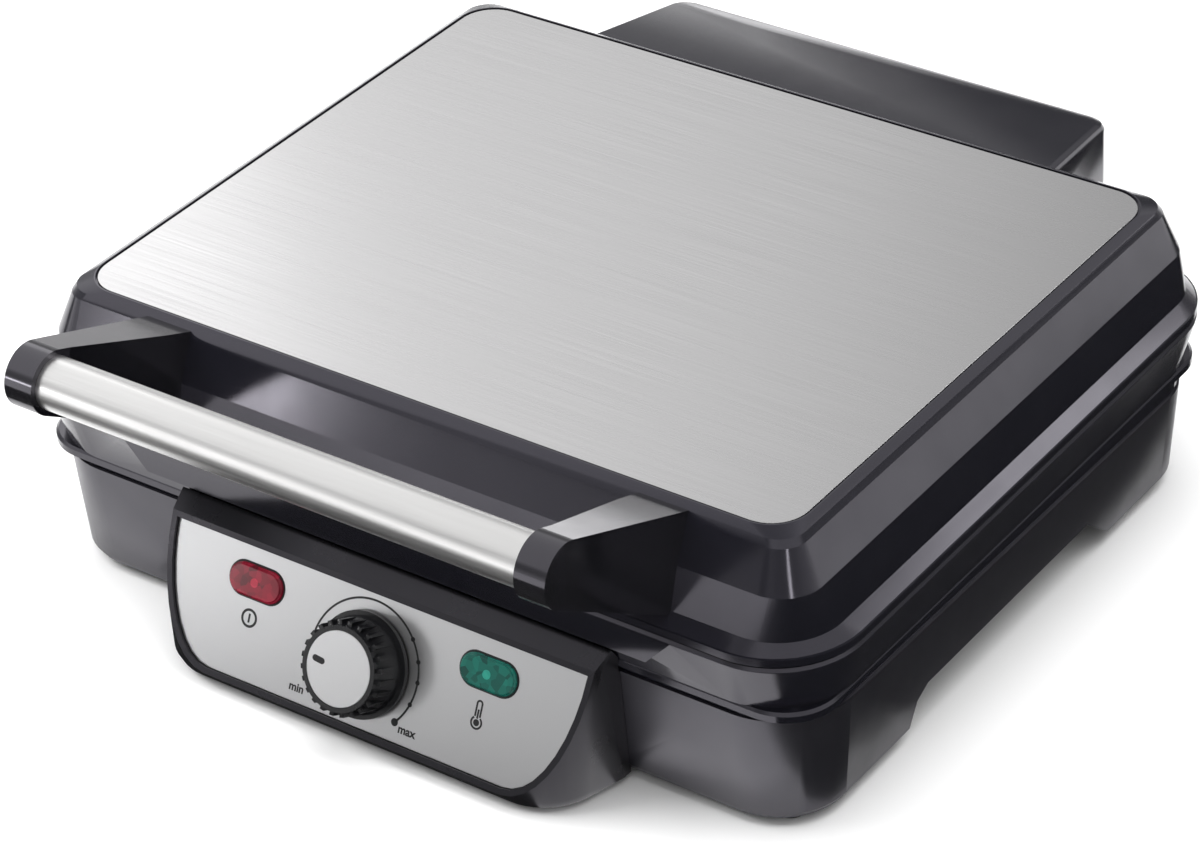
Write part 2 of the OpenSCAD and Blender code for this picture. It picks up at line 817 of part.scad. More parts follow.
module box_body(inset = 0) {
    hull() {
        on_panel() translate([0, 0, panel_sink - 0.6 - inset]) linear_extrude(0.6) panel_outline(box_border - 1 - inset);
        on_panel() translate([0, 0, panel_sink - 3 - inset]) linear_extrude(0.6) panel_outline(box_border - inset);
        translate([0, 0, box_low + inset]) linear_extrude(0.6) box_plan(inset + 1);
        translate([0, 0, box_low + inset + 3]) linear_extrude(0.6) box_plan(inset);
        translate([-box_root + inset, box_back, box_low + inset])
            cube([2 * (box_root - inset), 3.5, z_chin - box_low - 0.4 - 2 * inset]);
    }
}

// plan of the box near the table
module box_plan(inset) {
    half = box_root - 2 - inset;
    y0 = box_front + inset;
    translate([-half, y0 + box_r]) square([2 * half, box_back - y0 - box_r]);
    for (s = [-1, 1]) translate([s * (half - box_r), y0 + box_r]) circle(box_r, $fn = hull_fn);
    translate([-half + box_r, y0]) square([2 * (half - box_r), box_r]);
}

// the base as seen from the side in front, grown by g
module base_front_profile(g) {
    polygon([[0, z_base], [front_y(out_lip + g), z_base], [front_y(out_lip + g), z_chin],
        [front_y(out_flange + g), z_flange + flange_h], [front_y(out_flange + g), z_collar],
        [front_y(out_skirt + g), z_collar - slice], [front_y(out_skirt_low + g), skirt_foot + foot_edge], [front_y(out_foot + g), skirt_foot],
        [front_y(out_foot + g), 0], [0, 0]]);
}

// opening in the skirt behind the control box
module box_window() {
    translate([-box_root + 4, front_y(out_lip + 1), box_low + 3])
        cube([2 * (box_root - 4), 14, z_collar + 0.5 - box_low - 3]);
}

module control_box() {
    color(black) difference() {
        box_body();
        difference() {
            box_body(box_wall);
            on_panel() translate([0, 0, -box_front_t]) linear_extrude(beyond) square(2 * side_x(beyond), center = true);
        }
        on_panel() translate([0, 0, -panel_t]) linear_extrude(10) panel_outline(joint_gap / 2);
        on_panel() panel_holes(-8, 0.4);
        // open towards the base
        translate([-box_root + box_wall, front_y(out_collar) - 3, box_low + box_wall])
            cube([2 * (box_root - box_wall), 20, z_chin - box_low - 2 * box_wall - 0.4]);
        along_x(-side_x(0), side_x(0)) base_front_profile(0.1);
        socket(box_foot[0], box_foot[1], box_low);
        socket(-box_foot[0], box_foot[1], box_low);
    }
}

module socket(x, y, z) {
    translate([x, y, z - 1]) cylinder(d = foot_d * 0.5 + 0.1, h = foot_plug + 1);
}

// the lens and shaft holes, grown by g
module panel_holes(z, g) {
    for (s = [-1, 1]) translate([s * lens_x, -lens_v, z]) linear_extrude(20) stadium(g);
    translate([0, -knob_v, z]) cylinder(d = bushing_d + 2 * g, h = 20);
}

module stadium(g = 0) {
    r = lens_h / 2 + g;
    square([lens_w - lens_h, 2 * r], center = true);
    for (s = [-1, 1]) translate([s * (lens_w - lens_h) / 2, 0]) circle(r);
}

module panel() {
    color(steel) on_panel() difference() {
        translate([0, 0, -panel_t]) linear_extrude(panel_t) panel_outline();
        panel_holes(-5, 0.15);
    }
}

module lens(x, tint) {
    color(tint) on_panel() translate([x, -lens_v, 0]) {
        translate([0, 0, -box_front_t - lens_flange_t]) linear_extrude(lens_flange_t) stadium(1.4);
        translate([0, 0, -box_front_t]) linear_extrude(box_front_t + lens_out - 0.6) stadium();
        translate([0, 0, lens_out - 0.6]) linear_extrude(0.6) stadium(-0.6);
    }
}

module power_lens() { lens(-lens_x, "#b01028"); }
module ready_lens() { lens(lens_x, "#0f6b52"); }

module lamp(x) {
    color("#e8e2d0") on_panel() translate([x, -lens_v, -box_front_t - lens_flange_t - lamp_l]) {
        translate([0, 0, lamp_l - lamp_l * 0.5]) cylinder(d = lamp_d, h = lamp_l * 0.5);
        cylinder(d = lamp_d + 3, h = lamp_l * 0.5);
    }
}

module power_lamp() { lamp(-lens_x); }
module ready_lamp() { lamp(lens_x); }

// thermostat, hung behind the panel on its bushing
bushing_d = 9;
bracket_t = 1.2;
bracket_ear = 9;
bracket_in = 4;
box_front_t = 3;
stat_z = -box_front_t - bracket_t;

module thermostat() {
    color("#d8d2c0") on_panel() translate([0, -knob_v, 0]) difference() {
        union() {
            translate([-stat_w / 2, -stat_w / 2, stat_z - stat_d]) cube([stat_w, stat_w, stat_d]);
            translate([0, 0, stat_z - 1]) cylinder(d = bushing_d, h = 1 - stat_z);
        }
        translate([0, 0, stat_z - shaft_in - 1]) cylinder(d = shaft_d + 2 * shaft_clear, h = beyond);
    }
}

module thermostat_bracket() {
    color("silver") on_panel() translate([0, -knob_v, stat_z]) difference() {
        translate([-stat_w / 2 - bracket_ear, -stat_w / 2 + bracket_in, 0])
            cube([stat_w + 2 * bracket_ear, stat_w - 2 * bracket_in, bracket_t]);
        cylinder(d = bushing_d + 0.1, h = beyond, center = true);
    }
}

// round shaft with a flat above height z
module shaft_form(z0, z1, z, g = 0) {
    difference() {
        translate([0, 0, z0]) cylinder(d = shaft_d + 2 * g, h = z1 - z0);
        translate([shaft_d / 2 - 1 + g, -shaft_d, z]) cube([shaft_d, 2 * shaft_d, z1 - z + 1]);
    }
}

module thermostat_shaft() {
    color("#9a9a9c") on_panel() translate([0, -knob_v, 0])
        shaft_form(stat_z - shaft_in, knob_gap + knob_h - cap_t - 2, knob_gap + 4);
}

module knob() {
    color("#111113") on_panel() translate([0, -knob_v, knob_gap]) difference() {
        union() {
            cylinder(d = knob_d, h = 1.6);
            cylinder(d1 = knob_d - 2.4, d2 = knob_top_d, h = knob_h - 1);
            cylinder(d = knob_top_d, h = knob_h);
            for (i = [0 : knob_ribs - 1]) rotate(i * 360 / knob_ribs) translate([knob_top_d / 2 - 2, -0.8, 0])
                rotate([90, 0, 90]) linear_extrude(3.6) polygon([[0, 0.8], [1.6, 0.8], [1.6, knob_h - 1.4], [0, knob_h - 1.4]]);
        }
        translate([0, 0, knob_h - cap_t]) cylinder(d = cap_d + 0.1, h = 5);
        shaft_form(-1, knob_h - cap_t - 2, 4, press_fit);
        translate([0, 0, -1]) difference() {
            cylinder(d = knob_d - 8, h = 5);
            cylinder(d = shaft_d + 6, h = 6);
        }
    }
}

module knob_cap() {
    color(steel) on_panel() translate([0, -knob_v, knob_gap + knob_h - cap_t]) cylinder(d = cap_d, h = cap_t);
}

// ---------------------------------------------------------------- feet, screws, wiring

module foot(x, y, seat) {
    color(rubber) translate([x, y, 0]) {
        cylinder(d1 = foot_d - 1.6, d2 = foot_d, h = 1.2);
        translate([0, 0, 1.2]) cylinder(d = foot_d, h = seat - 1.2);
        cylinder(d = foot_d * 0.5, h = seat + foot_plug - 0.3);
    }
}

module foot_box_left() { foot(-box_foot[0], box_foot[1], box_low); }
module foot_box_right() { foot(box_foot[0], box_foot[1], box_low); }
module foot_front_left() { foot(-leg_x, front_leg_y, skirt_foot); }
module foot_front_right() { foot(leg_x, front_leg_y, skirt_foot); }
module foot_rear_left() { foot(-leg_x, rear_leg_y, skirt_foot); }
module foot_rear_right() { foot(leg_x, rear_leg_y, skirt_foot); }

module base_screws() {
    color("silver") for (p = boss_places()) translate([p[0], p[1], 0]) {
        translate([0, 0, z_floor - head_h]) cylinder(d = head_d, h = head_h);
        translate([0, 0, z_floor - 1]) cylinder(d = screw_d - 0.1, h = screw_l);
    }
}

// three-way terminal block behind the middle of the floor
block = [36, 16, 12];
block_in = 60;

module terminal_block() {
    color("#e6e0cf") translate([-block[0] / 2, lid_y + block_in, z_floor + floor_t]) difference() {
        cube(block);
        for (i = [0 : 2]) translate([block[0] * (i + 0.5) / 3, block[1] / 2, block[2] / 2]) cylinder(d = 5, h = block[2]);
    }
}

// ---------------------------------------------------------------- hinge

module hinge_cover() {
    color(black) difference() {
        cover_form(0);
        difference() {
            cover_form(cover_wall);
            for (s = [-1, 1]) knuckles(s);
        }
        lid_outer();
        lid_lip();
        for (s = [-1, 1]) translate([s * ear_x, hinge_y, hinge_z]) rotate([0, 90, 0])
            cylinder(d = pin_d + 2 * press_fit, h = pin_l, center = true);
    }
}

// corner points of the cover's plan, inset by g, with its front inside the lid
module cover_plan(g) {
    depth = cover_back - rear_y(rim_out);
    lean = cover_taper / depth;
    back = cover_w / 2 - g - cover_taper + lean * cover_r;
    front = cover_w / 2 - g + lean * (rim_out + 10);
    y0 = rear_y(-10);
    y1 = cover_back - g - cover_r;
    polygon([[-front, y0], [front, y0], [back, y1], [-back, y1]]);
    for (s = [-1, 1]) translate([s * (back - cover_r), y1]) circle(cover_r, $fn = hull_fn);
}

// the cover's body with a top that falls backwards, inset by g
module cover_form(g) {
    fall = atan(cover_fall / (cover_back - rear_y(rim_out)));
    hull() {
        for (edge = [[2.4, 0], [0.8, 0.8], [0, 2.6]])
            translate([0, rear_y(rim_out), cover_top - g - edge[1] - slice]) rotate([-fall, 0, 0])
                translate([0, -rear_y(rim_out), 0]) linear_extrude(slice) cover_plan(g + edge[0]);
        translate([0, 0, z_lid + (g > 0 ? -1 : 0.3)]) linear_extrude(slice) cover_plan(g);
    }
}

// plates inside the cover, one on each side of an ear
module knuckles(s) {
    for (k = [-1, 1])
        translate([s * ear_x + k * (ear_t / 2 + knuckle_gap + knuckle_t / 2), 0, 0])
            along_x(-knuckle_t / 2, knuckle_t / 2) {
                translate([hinge_y, hinge_z]) circle(d = ear_d);
                polygon([[hinge_y - ear_d / 2, hinge_z], [hinge_y + ear_d / 2, hinge_z],
                    [cover_back, hinge_z + 14], [cover_back, cover_top], [rear_y(out_rim), cover_top],
                    [rear_y(out_wall), z_wall], [hinge_y - ear_d / 2, z_wall]]);
            }
}

module hinge_pins() {
    color("#b5b5b8") for (s = [-1, 1]) translate([s * ear_x, hinge_y, hinge_z]) rotate([0, 90, 0])
        cylinder(d = pin_d, h = pin_l - 0.4, center = true);
}

module hinge_bushes() {
    color("#b08d57") for (s = [-1, 1]) translate([s * ear_x, hinge_y, hinge_z]) rotate([0, 90, 0])
        difference() {
            cylinder(d = bush_d - 0.04, h = ear_t, center = true);
            cylinder(d = pin_d + 2 * pin_clear, h = ear_t + 2, center = true);
        }
}

// ---------------------------------------------------------------- handle

// side of an arm, drawn in (y, z)
module arm_profile() {
    hull() {
        translate([bar_y, bar_z]) circle(d = nose_d);
        polygon([[front_y(out_rim - crown_edge) + 0.6, lid_top - crown_drop], [front_y(out_rim), z_rim], [front_y(out_bevel), z_bevel],
            [front_y(out_wall), z_wall - arm_foot]]);
    }
}

module arm_plan() {
    tip = bar_y - nose_d / 2 - 1;
    root = front_y(0) + 6;
    polygon([[arm_in, root], [arm_in + arm_t, root], [nose_in + nose_t, bar_y], [nose_in + nose_t, tip],
        [nose_in, tip], [nose_in, bar_y + bar_d / 2], [arm_in + 1, front_y(out_wall)]]);
}

module arm() {
    color(black) difference() {
        union() {
            intersection() {
                along_x(0, side_x(beyond)) arm_profile();
                linear_extrude(bar_z + nose_d) arm_plan();
            }
            translate([nose_in - spigot_l, bar_y, bar_z]) rotate([0, 90, 0])
                cylinder(d = bar_d - 2 * bar_wall - 0.1, h = spigot_l + 1);
        }
        along_x(-side_x(beyond), side_x(beyond)) lid_front_profile();
        translate([0, bar_y, bar_z]) rotate([0, 90, 0]) cylinder(d = rod_d + 2 * press_fit, h = nose_in + rod_in);
    }
}

// what the lid's front takes out of an arm
module lid_front_profile() {
    hull() polygon([[0, lid_top], [front_y(1), lid_top], [front_y(out_rim - crown_edge), lid_top - crown_drop + slice],
        [front_y(out_rim), z_rim + slice], [front_y(out_bevel), z_bevel + slice],
        [front_y(out_wall), z_wall + slice], [front_y(out_wall), 0], [0, 0]]);
    polygon([[0, z_wall], [front_y(out_wall), z_wall + slice], [front_y(out_lip - 0.5), z_lip + slice],
        [front_y(out_lip), z_lip], [front_y(out_lip), 0], [0, 0]]);
}

module arm_right() { arm(); }
module arm_left() { mirror([1, 0, 0]) arm(); }

module handle_bar() {
    color("#d2d3d6") translate([0, bar_y, bar_z]) rotate([0, 90, 0]) difference() {
        cylinder(d = bar_d, h = 2 * nose_in - 0.1, center = true);
        cylinder(d = bar_d - 2 * bar_wall, h = 2 * nose_in + 2, center = true);
    }
}

module handle_rod() {
    color("silver") translate([0, bar_y, bar_z]) rotate([0, 90, 0])
        cylinder(d = rod_d, h = 2 * (nose_in + rod_in), center = true);
}

base_frame();
base_skirt();
base_floor();
control_box();
panel();
power_lens();
ready_lens();
power_lamp();
ready_lamp();
thermostat();
thermostat_bracket();
thermostat_shaft();
knob();
knob_cap();
lower_plate();
lower_heater();
lower_tray();
upper_plate();
upper_heater();
upper_tray();
terminal_block();
cord_gland();
base_screws();
foot_box_left();
foot_box_right();
foot_front_left();
foot_front_right();
foot_rear_left();
foot_rear_right();
lid_shell();
lid_sheet();
lid_frame();
hinge_cover();
hinge_pins();
hinge_bushes();
arm_left();
arm_right();
handle_bar();
handle_rod();
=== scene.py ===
"""Looks of a table-top waffle maker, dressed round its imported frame.

Each sub-assembly is a class. It takes its places from the frame, finishes the frame's own solids
with softened edges, and adds the pieces that the solids leave out.
"""

import logging
import math
from dataclasses import dataclass
from enum import Enum

import bmesh
import bpy
from mathutils import Euler, Matrix, Vector


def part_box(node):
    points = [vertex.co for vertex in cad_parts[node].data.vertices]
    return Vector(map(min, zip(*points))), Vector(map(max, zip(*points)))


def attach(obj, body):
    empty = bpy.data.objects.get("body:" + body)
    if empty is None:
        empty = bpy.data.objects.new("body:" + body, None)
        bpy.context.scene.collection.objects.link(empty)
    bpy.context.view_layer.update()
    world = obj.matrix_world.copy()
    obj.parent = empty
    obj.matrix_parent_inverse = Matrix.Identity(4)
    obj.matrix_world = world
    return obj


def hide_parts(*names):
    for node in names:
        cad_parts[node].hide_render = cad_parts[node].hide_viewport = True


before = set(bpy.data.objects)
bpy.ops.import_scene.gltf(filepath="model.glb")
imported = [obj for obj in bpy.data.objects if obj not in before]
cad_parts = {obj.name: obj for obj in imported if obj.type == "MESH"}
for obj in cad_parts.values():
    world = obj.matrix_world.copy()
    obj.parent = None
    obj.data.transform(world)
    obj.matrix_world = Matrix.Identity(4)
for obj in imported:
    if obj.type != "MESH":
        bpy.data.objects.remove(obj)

log = logging.getLogger("waffle_maker")

MM = 0.001
SHARP = math.radians(32)
Colour = tuple[float, float, float]
Point = tuple[float, float, float]
Spot = tuple[float, float]


class Body(Enum):
    """Bodies of the frame that a piece can ride on."""

    BASE = "base"
    LID = "lid"
    KNOB = "knob"


# ---------------------------------------------------------------- finishes


class Shader:
    """A new material with a principled shader, and short ways to add nodes to it.

    Attributes:
        noise_range: Values of a noise that stand for its low and high places.
    """

    noise_range: tuple[float, float] = (0.3, 0.7)

    def __init__(self, name: str) -> None:
        """Starts the material.

        Args:
            name: Name of the material.
        """
        self.material = bpy.data.materials.new(name)
        self.material.use_nodes = True
        self.tree = self.material.node_tree
        self.surface = self.tree.nodes["Principled BSDF"]

    def set(self, **values: object) -> None:
        """Sets sockets of the principled shader.

        Args:
            **values: Values of the sockets; an underscore in a name stands for a space.
        """
        for key, value in values.items():
            if isinstance(value, tuple) and len(value) == 3:
                value = (*value, 1.0)
            self.surface.inputs[key.replace("_", " ")].default_value = value

    def node(self, kind: str, **values: object) -> bpy.types.Node:
        """Adds a node.

        Args:
            kind: Type of the node, without its ShaderNode prefix.
            **values: Values of its sockets; an underscore in a name stands for a space.

        Returns:
            The node.
        """
        made = self.tree.nodes.new("ShaderNode" + kind)
        for key, value in values.items():
            made.inputs[key.replace("_", " ")].default_value = value
        return made

    def link(self, source: bpy.types.NodeSocket, target: bpy.types.NodeSocket) -> None:
        """Links two sockets."""
        self.tree.links.new(source, target)

    def noise(self, cells: Point, detail: float = 2.0) -> bpy.types.Node:
        """Adds a noise on the piece's own coordinates.

        Args:
            cells: Noise cells for each metre along x, y and z.
            detail: Detail of the noise.

        Returns:
            The noise node.
        """
        place = self.node("TexCoord")
        mapping = self.node("Mapping", Scale=cells)
        noise = self.node("TexNoise", Scale=1.0, Detail=detail)
        self.link(place.outputs["Object"], mapping.inputs["Vector"])
        self.link(mapping.outputs["Vector"], noise.inputs["Vector"])
        return noise

    def bump(self, source: bpy.types.Node, strength: float, depth: float) -> None:
        """Gives the surface a relief.

        Args:
            source: Node whose factor is the height.
            strength: Strength of the relief.
            depth: Depth of the relief in metres.
        """
        bump = self.node("Bump", Strength=strength, Distance=depth)
        self.link(source.outputs[0], bump.inputs["Height"])
        self.link(bump.outputs["Normal"], self.surface.inputs["Normal"])

    def vary_roughness(self, source: bpy.types.Node, low: float, high: float) -> None:
        """Lets the roughness follow a noise.

        Args:
            source: Node whose factor drives the roughness.
            low: Roughness where the noise is low.
            high: Roughness where the noise is high.
        """
        least, most = self.noise_range
        spread = self.node("MapRange", From_Min=least, From_Max=most, To_Min=low, To_Max=high)
        self.link(source.outputs[0], spread.inputs["Value"])
        self.link(spread.outputs["Result"], self.surface.inputs["Roughness"])


@dataclass(frozen=True)
class Finish:
    """A surface finish, which builds its own material."""

    name: str

    def material(self) -> bpy.types.Material:
        """Builds the finish."""
        raise NotImplementedError(self.name)


@dataclass(frozen=True)
class MouldedPlastic(Finish):
    """Moulded plastic with a fine grain.

    Attributes:
        spread: How far the roughness rises and falls in broad clouds.
        grain: Strength of the grain's relief.
        specular: Strength of its mirroring.
        tint: Tint of what it mirrors.
        cloud_cells: Clouds for each metre.
        grain_cells: Grains for each metre.
        grain_depth: Depth of the grain.
    """

    colour: Colour
    roughness: float
    spread: float = 0.04
    grain: float = 0.05
    specular: float = 0.5
    tint: Colour = (1.0, 1.0, 1.0)
    cloud_cells: float = 60.0
    grain_cells: float = 2500.0
    grain_depth: float = 0.05 * MM

    def material(self) -> bpy.types.Material:
        """Builds the finish."""
        shader = Shader(self.name)
        shader.set(Base_Color=self.colour, Specular_IOR_Level=self.specular)
        shader.set(Specular_Tint=self.tint)
        clouds = shader.noise((self.cloud_cells,) * 3, detail=4.0)
        shader.vary_roughness(clouds, self.roughness - self.spread, self.roughness + self.spread)
        shader.bump(shader.noise((self.grain_cells,) * 3), self.grain, self.grain_depth)
        return shader.material


@dataclass(frozen=True)
class BrushedMetal(Finish):
    """Metal with fine brush lines along x.

    Attributes:
        line: Strength of the lines' relief.
        fine: Lines for each metre across the brushing.
        long: Line ends for each metre along the brushing.
        spread: Share by which the roughness rises and falls from line to line.
        line_depth: Depth of the lines.
    """

    colour: Colour
    roughness: float
    line: float
    fine: float = 2600.0
    long: float = 14.0
    spread: float = 0.22
    line_depth: float = 0.02 * MM

    def material(self) -> bpy.types.Material:
        """Builds the finish."""
        shader = Shader(self.name)
        shader.set(Base_Color=self.colour, Metallic=1.0)
        lines = shader.noise((self.long, self.fine, self.fine), detail=3.0)
        low, high = 1 - self.spread, 1 + self.spread
        shader.vary_roughness(lines, self.roughness * low, self.roughness * high)
        shader.bump(lines, self.line, self.line_depth)
        return shader.material


@dataclass(frozen=True)
class PlainMetal(Finish):
    """Bare sheet or turned metal.

    Attributes:
        smoothest: Share of the roughness in the smoothest clouds.
        roughest: Share of the roughness in the roughest clouds.
        cloud_cells: Clouds for each metre.
    """

    colour: Colour
    roughness: float
    smoothest: float = 0.85
    roughest: float = 1.2
    cloud_cells: float = 90.0

    def material(self) -> bpy.types.Material:
        """Builds the finish."""
        shader = Shader(self.name)
        shader.set(Base_Color=self.colour, Metallic=1.0)
        clouds = shader.noise((self.cloud_cells,) * 3, detail=3.0)
        low, high = self.smoothest, self.roughest
        shader.vary_roughness(clouds, self.roughness * low, self.roughness * high)
        return shader.material


@dataclass(frozen=True)
class NonStick(Finish):
    """Dark non-stick coat on cast aluminium.

    Attributes:
        smoother: How far the roughness falls in the smoothest clouds.
        rougher: How far the roughness rises in the roughest clouds.
        metallic: How much of the metal shows through.
        specular: Strength of its mirroring.
        grain: Strength of the cast grain's relief.
        cloud_cells: Clouds for each metre.
        grain_cells: Grains for each metre.
        grain_depth: Depth of the grain.
    """

    colour: Colour
    roughness: float
    smoother: float = 0.06
    rougher: float = 0.08
    metallic: float = 0.15
    specular: float = 0.45
    grain: float = 0.12
    cloud_cells: float = 200.0
    grain_cells: float = 1500.0
    grain_depth: float = 0.06 * MM

    def material(self) -> bpy.types.Material:
        """Builds the finish."""
        shader = Shader(self.name)
        shader.set(Base_Color=self.colour, Metallic=self.metallic)
        shader.set(Specular_IOR_Level=self.specular)
        clouds = shader.noise((self.cloud_cells,) * 3, detail=4.0)
        low, high = self.roughness - self.smoother, self.roughness + self.rougher
        shader.vary_roughness(clouds, low, high)
        grains = shader.noise((self.grain_cells,) * 3, detail=4.0)
        shader.bump(grains, self.grain, self.grain_depth)
        return shader.material


@dataclass(frozen=True)
class LensPlastic(Finish):
    """Coloured plastic of a lamp's lens, with small facets under a clear skin. The facets are
    painted lighter and darker as painted glints and shade, and the lens has a painted glow of its
    lamp.

    Attributes:
        dark: Colour of its darkest facets, painted shade.
        bright: Colour of its brightest facets, a painted glint, and the colour of its painted
            glow.
        painted_glow: Strength of its painted glow, the lamp's light painted into the lens.
        facets: Facets for each metre.
        specular: Strength of its mirroring.
        skin: Strength of the clear skin.
        skin_roughness: Roughness of the clear skin.
    """

    dark: Colour
    bright: Colour
    painted_glow: float = 0.0
    roughness: float = 0.16
    facets: float = 380.0
    specular: float = 0.4
    skin: float = 0.15
    skin_roughness: float = 0.04

    def material(self) -> bpy.types.Material:
        """Builds the finish."""
        shader = Shader(self.name)
        shader.set(Roughness=self.roughness, Specular_IOR_Level=self.specular)
        shader.set(Coat_Weight=self.skin, Coat_Roughness=self.skin_roughness)
        # Painted glow: the lens gives off light of its own in place of the lamp behind it.
        shader.set(Emission_Color=self.bright, Emission_Strength=self.painted_glow)
        # Painted glints and shade: each facet gets a lighter or darker tone that stands in for
        # light caught in it.
        place = shader.node("TexCoord")
        cells = shader.node("TexVoronoi", Scale=self.facets)
        tones = shader.node("ValToRGB")
        for element, tone in zip(tones.color_ramp.elements, (self.dark, self.bright)):
            element.color = (*tone, 1.0)
        shader.link(place.outputs["Object"], cells.inputs["Vector"])
        shader.link(cells.outputs["Color"], tones.inputs["Fac"])
        shader.link(tones.outputs["Color"], shader.surface.inputs["Base Color"])
        return shader.material


@dataclass(frozen=True)
class Ink(Finish):
    """Flat printed colour."""

    colour: Colour
    roughness: float = 0.55

    def material(self) -> bpy.types.Material:
        """Builds the finish."""
        shader = Shader(self.name)
        shader.set(Base_Color=self.colour, Roughness=self.roughness)
        return shader.material


class Finishes:
    """All finishes of the waffle maker, each built once."""

    cool: Colour = (0.92, 0.88, 1.0)
    shell = MouldedPlastic(
        "lid_black", (0.006, 0.006, 0.009), 0.16, spread=0.02, grain=0.02, specular=0.80, tint=cool
    )
    body = MouldedPlastic(
        "base_black", (0.010, 0.010, 0.013), 0.34, spread=0.04, grain=0.06, specular=1.0, tint=cool
    )
    arm = MouldedPlastic(
        "arm_gloss", (0.005, 0.005, 0.006), 0.13, spread=0.02, grain=0.01, specular=0.95, tint=cool
    )
    box = MouldedPlastic(
        "box_black", (0.007, 0.007, 0.008), 0.30, spread=0.04, grain=0.06, specular=0.42, tint=cool
    )
    knob = MouldedPlastic("knob_black", (0.006, 0.006, 0.007), 0.25, grain=0.04)
    rubber = MouldedPlastic(
        "foot_rubber", (0.018, 0.018, 0.018), 0.7, spread=0.06, grain=0.3, specular=0.3
    )
    inner = MouldedPlastic("inner_plastic", (0.02, 0.02, 0.022), 0.45, spread=0.05, grain=0.1)
    ceramic = MouldedPlastic("cream_ceramic", (0.72, 0.66, 0.52), 0.5, spread=0.05, grain=0.1)
    sheet = BrushedMetal("lid_steel", (0.60, 0.595, 0.60), 0.24, line=0.10)
    panel = BrushedMetal(
        "panel_steel", (0.64, 0.64, 0.65), 0.35, line=0.02, fine=5000.0, long=60.0, spread=0.05
    )
    bar = BrushedMetal(
        "bar_aluminium", (0.80, 0.795, 0.79), 0.36, line=0.05, fine=4000.0, long=30.0
    )
    disc = BrushedMetal(
        "disc_steel", (0.72, 0.72, 0.73), 0.34, line=0.012, fine=5000.0, long=120.0, spread=0.05
    )
    plate = NonStick("waffle_non_stick", (0.018, 0.018, 0.019), 0.42)
    tray = PlainMetal("tray_aluminium", (0.80, 0.80, 0.81), 0.32)
    steel = PlainMetal("bright_steel", (0.62, 0.62, 0.64), 0.28)
    heater = PlainMetal("heater_sheath", (0.20, 0.19, 0.18), 0.5)
    # Lens finishes: the lighter facets and the glow are painted light, and the glow spots are a
    # painted bright centre of lamp light.
    red = LensPlastic("red_lens", (0.04, 0.0, 0.003), (0.26, 0.004, 0.022), painted_glow=0.05)
    red_glow_spot = LensPlastic(
        "red_glow_spot", (0.26, 0.006, 0.022), (0.42, 0.014, 0.045), painted_glow=0.10, roughness=0.25
    )
    green = LensPlastic("green_lens", (0.0, 0.022, 0.019), (0.003, 0.120, 0.090), painted_glow=0.05)
    green_glow_spot = LensPlastic(
        "green_glow_spot", (0.004, 0.14, 0.105), (0.012, 0.24, 0.18), painted_glow=0.10, roughness=0.25
    )
    lamp = LensPlastic("lamp_glass", (0.72, 0.67, 0.59), (0.78, 0.73, 0.65))
    ink = Ink("print_black", (0.012, 0.012, 0.013))

    _built: dict[str, bpy.types.Material] = {}

    @classmethod
    def of(cls, finish: Finish) -> bpy.types.Material:
        """Gives a finish's material, and builds it the first time.

        Args:
            finish: One of the finishes above.

        Returns:
            The material.
        """
        if finish.name not in cls._built:
            cls._built[finish.name] = finish.material()
        return cls._built[finish.name]


# ---------------------------------------------------------------- making pieces


@dataclass(frozen=True)
class SoftEdge:
    """How a solid's edges are softened.

    Attributes:
        width: Width of the rounding.
        segments: Faces across the rounding.
        sharper_than: Angle past which an edge is rounded.
        level_break: Angle past which a level edge stays crisp in the shading.
    """

    width: float = 0.4 * MM
    segments: int = 3
    sharper_than: float = SHARP
    level_break: float = math.pi


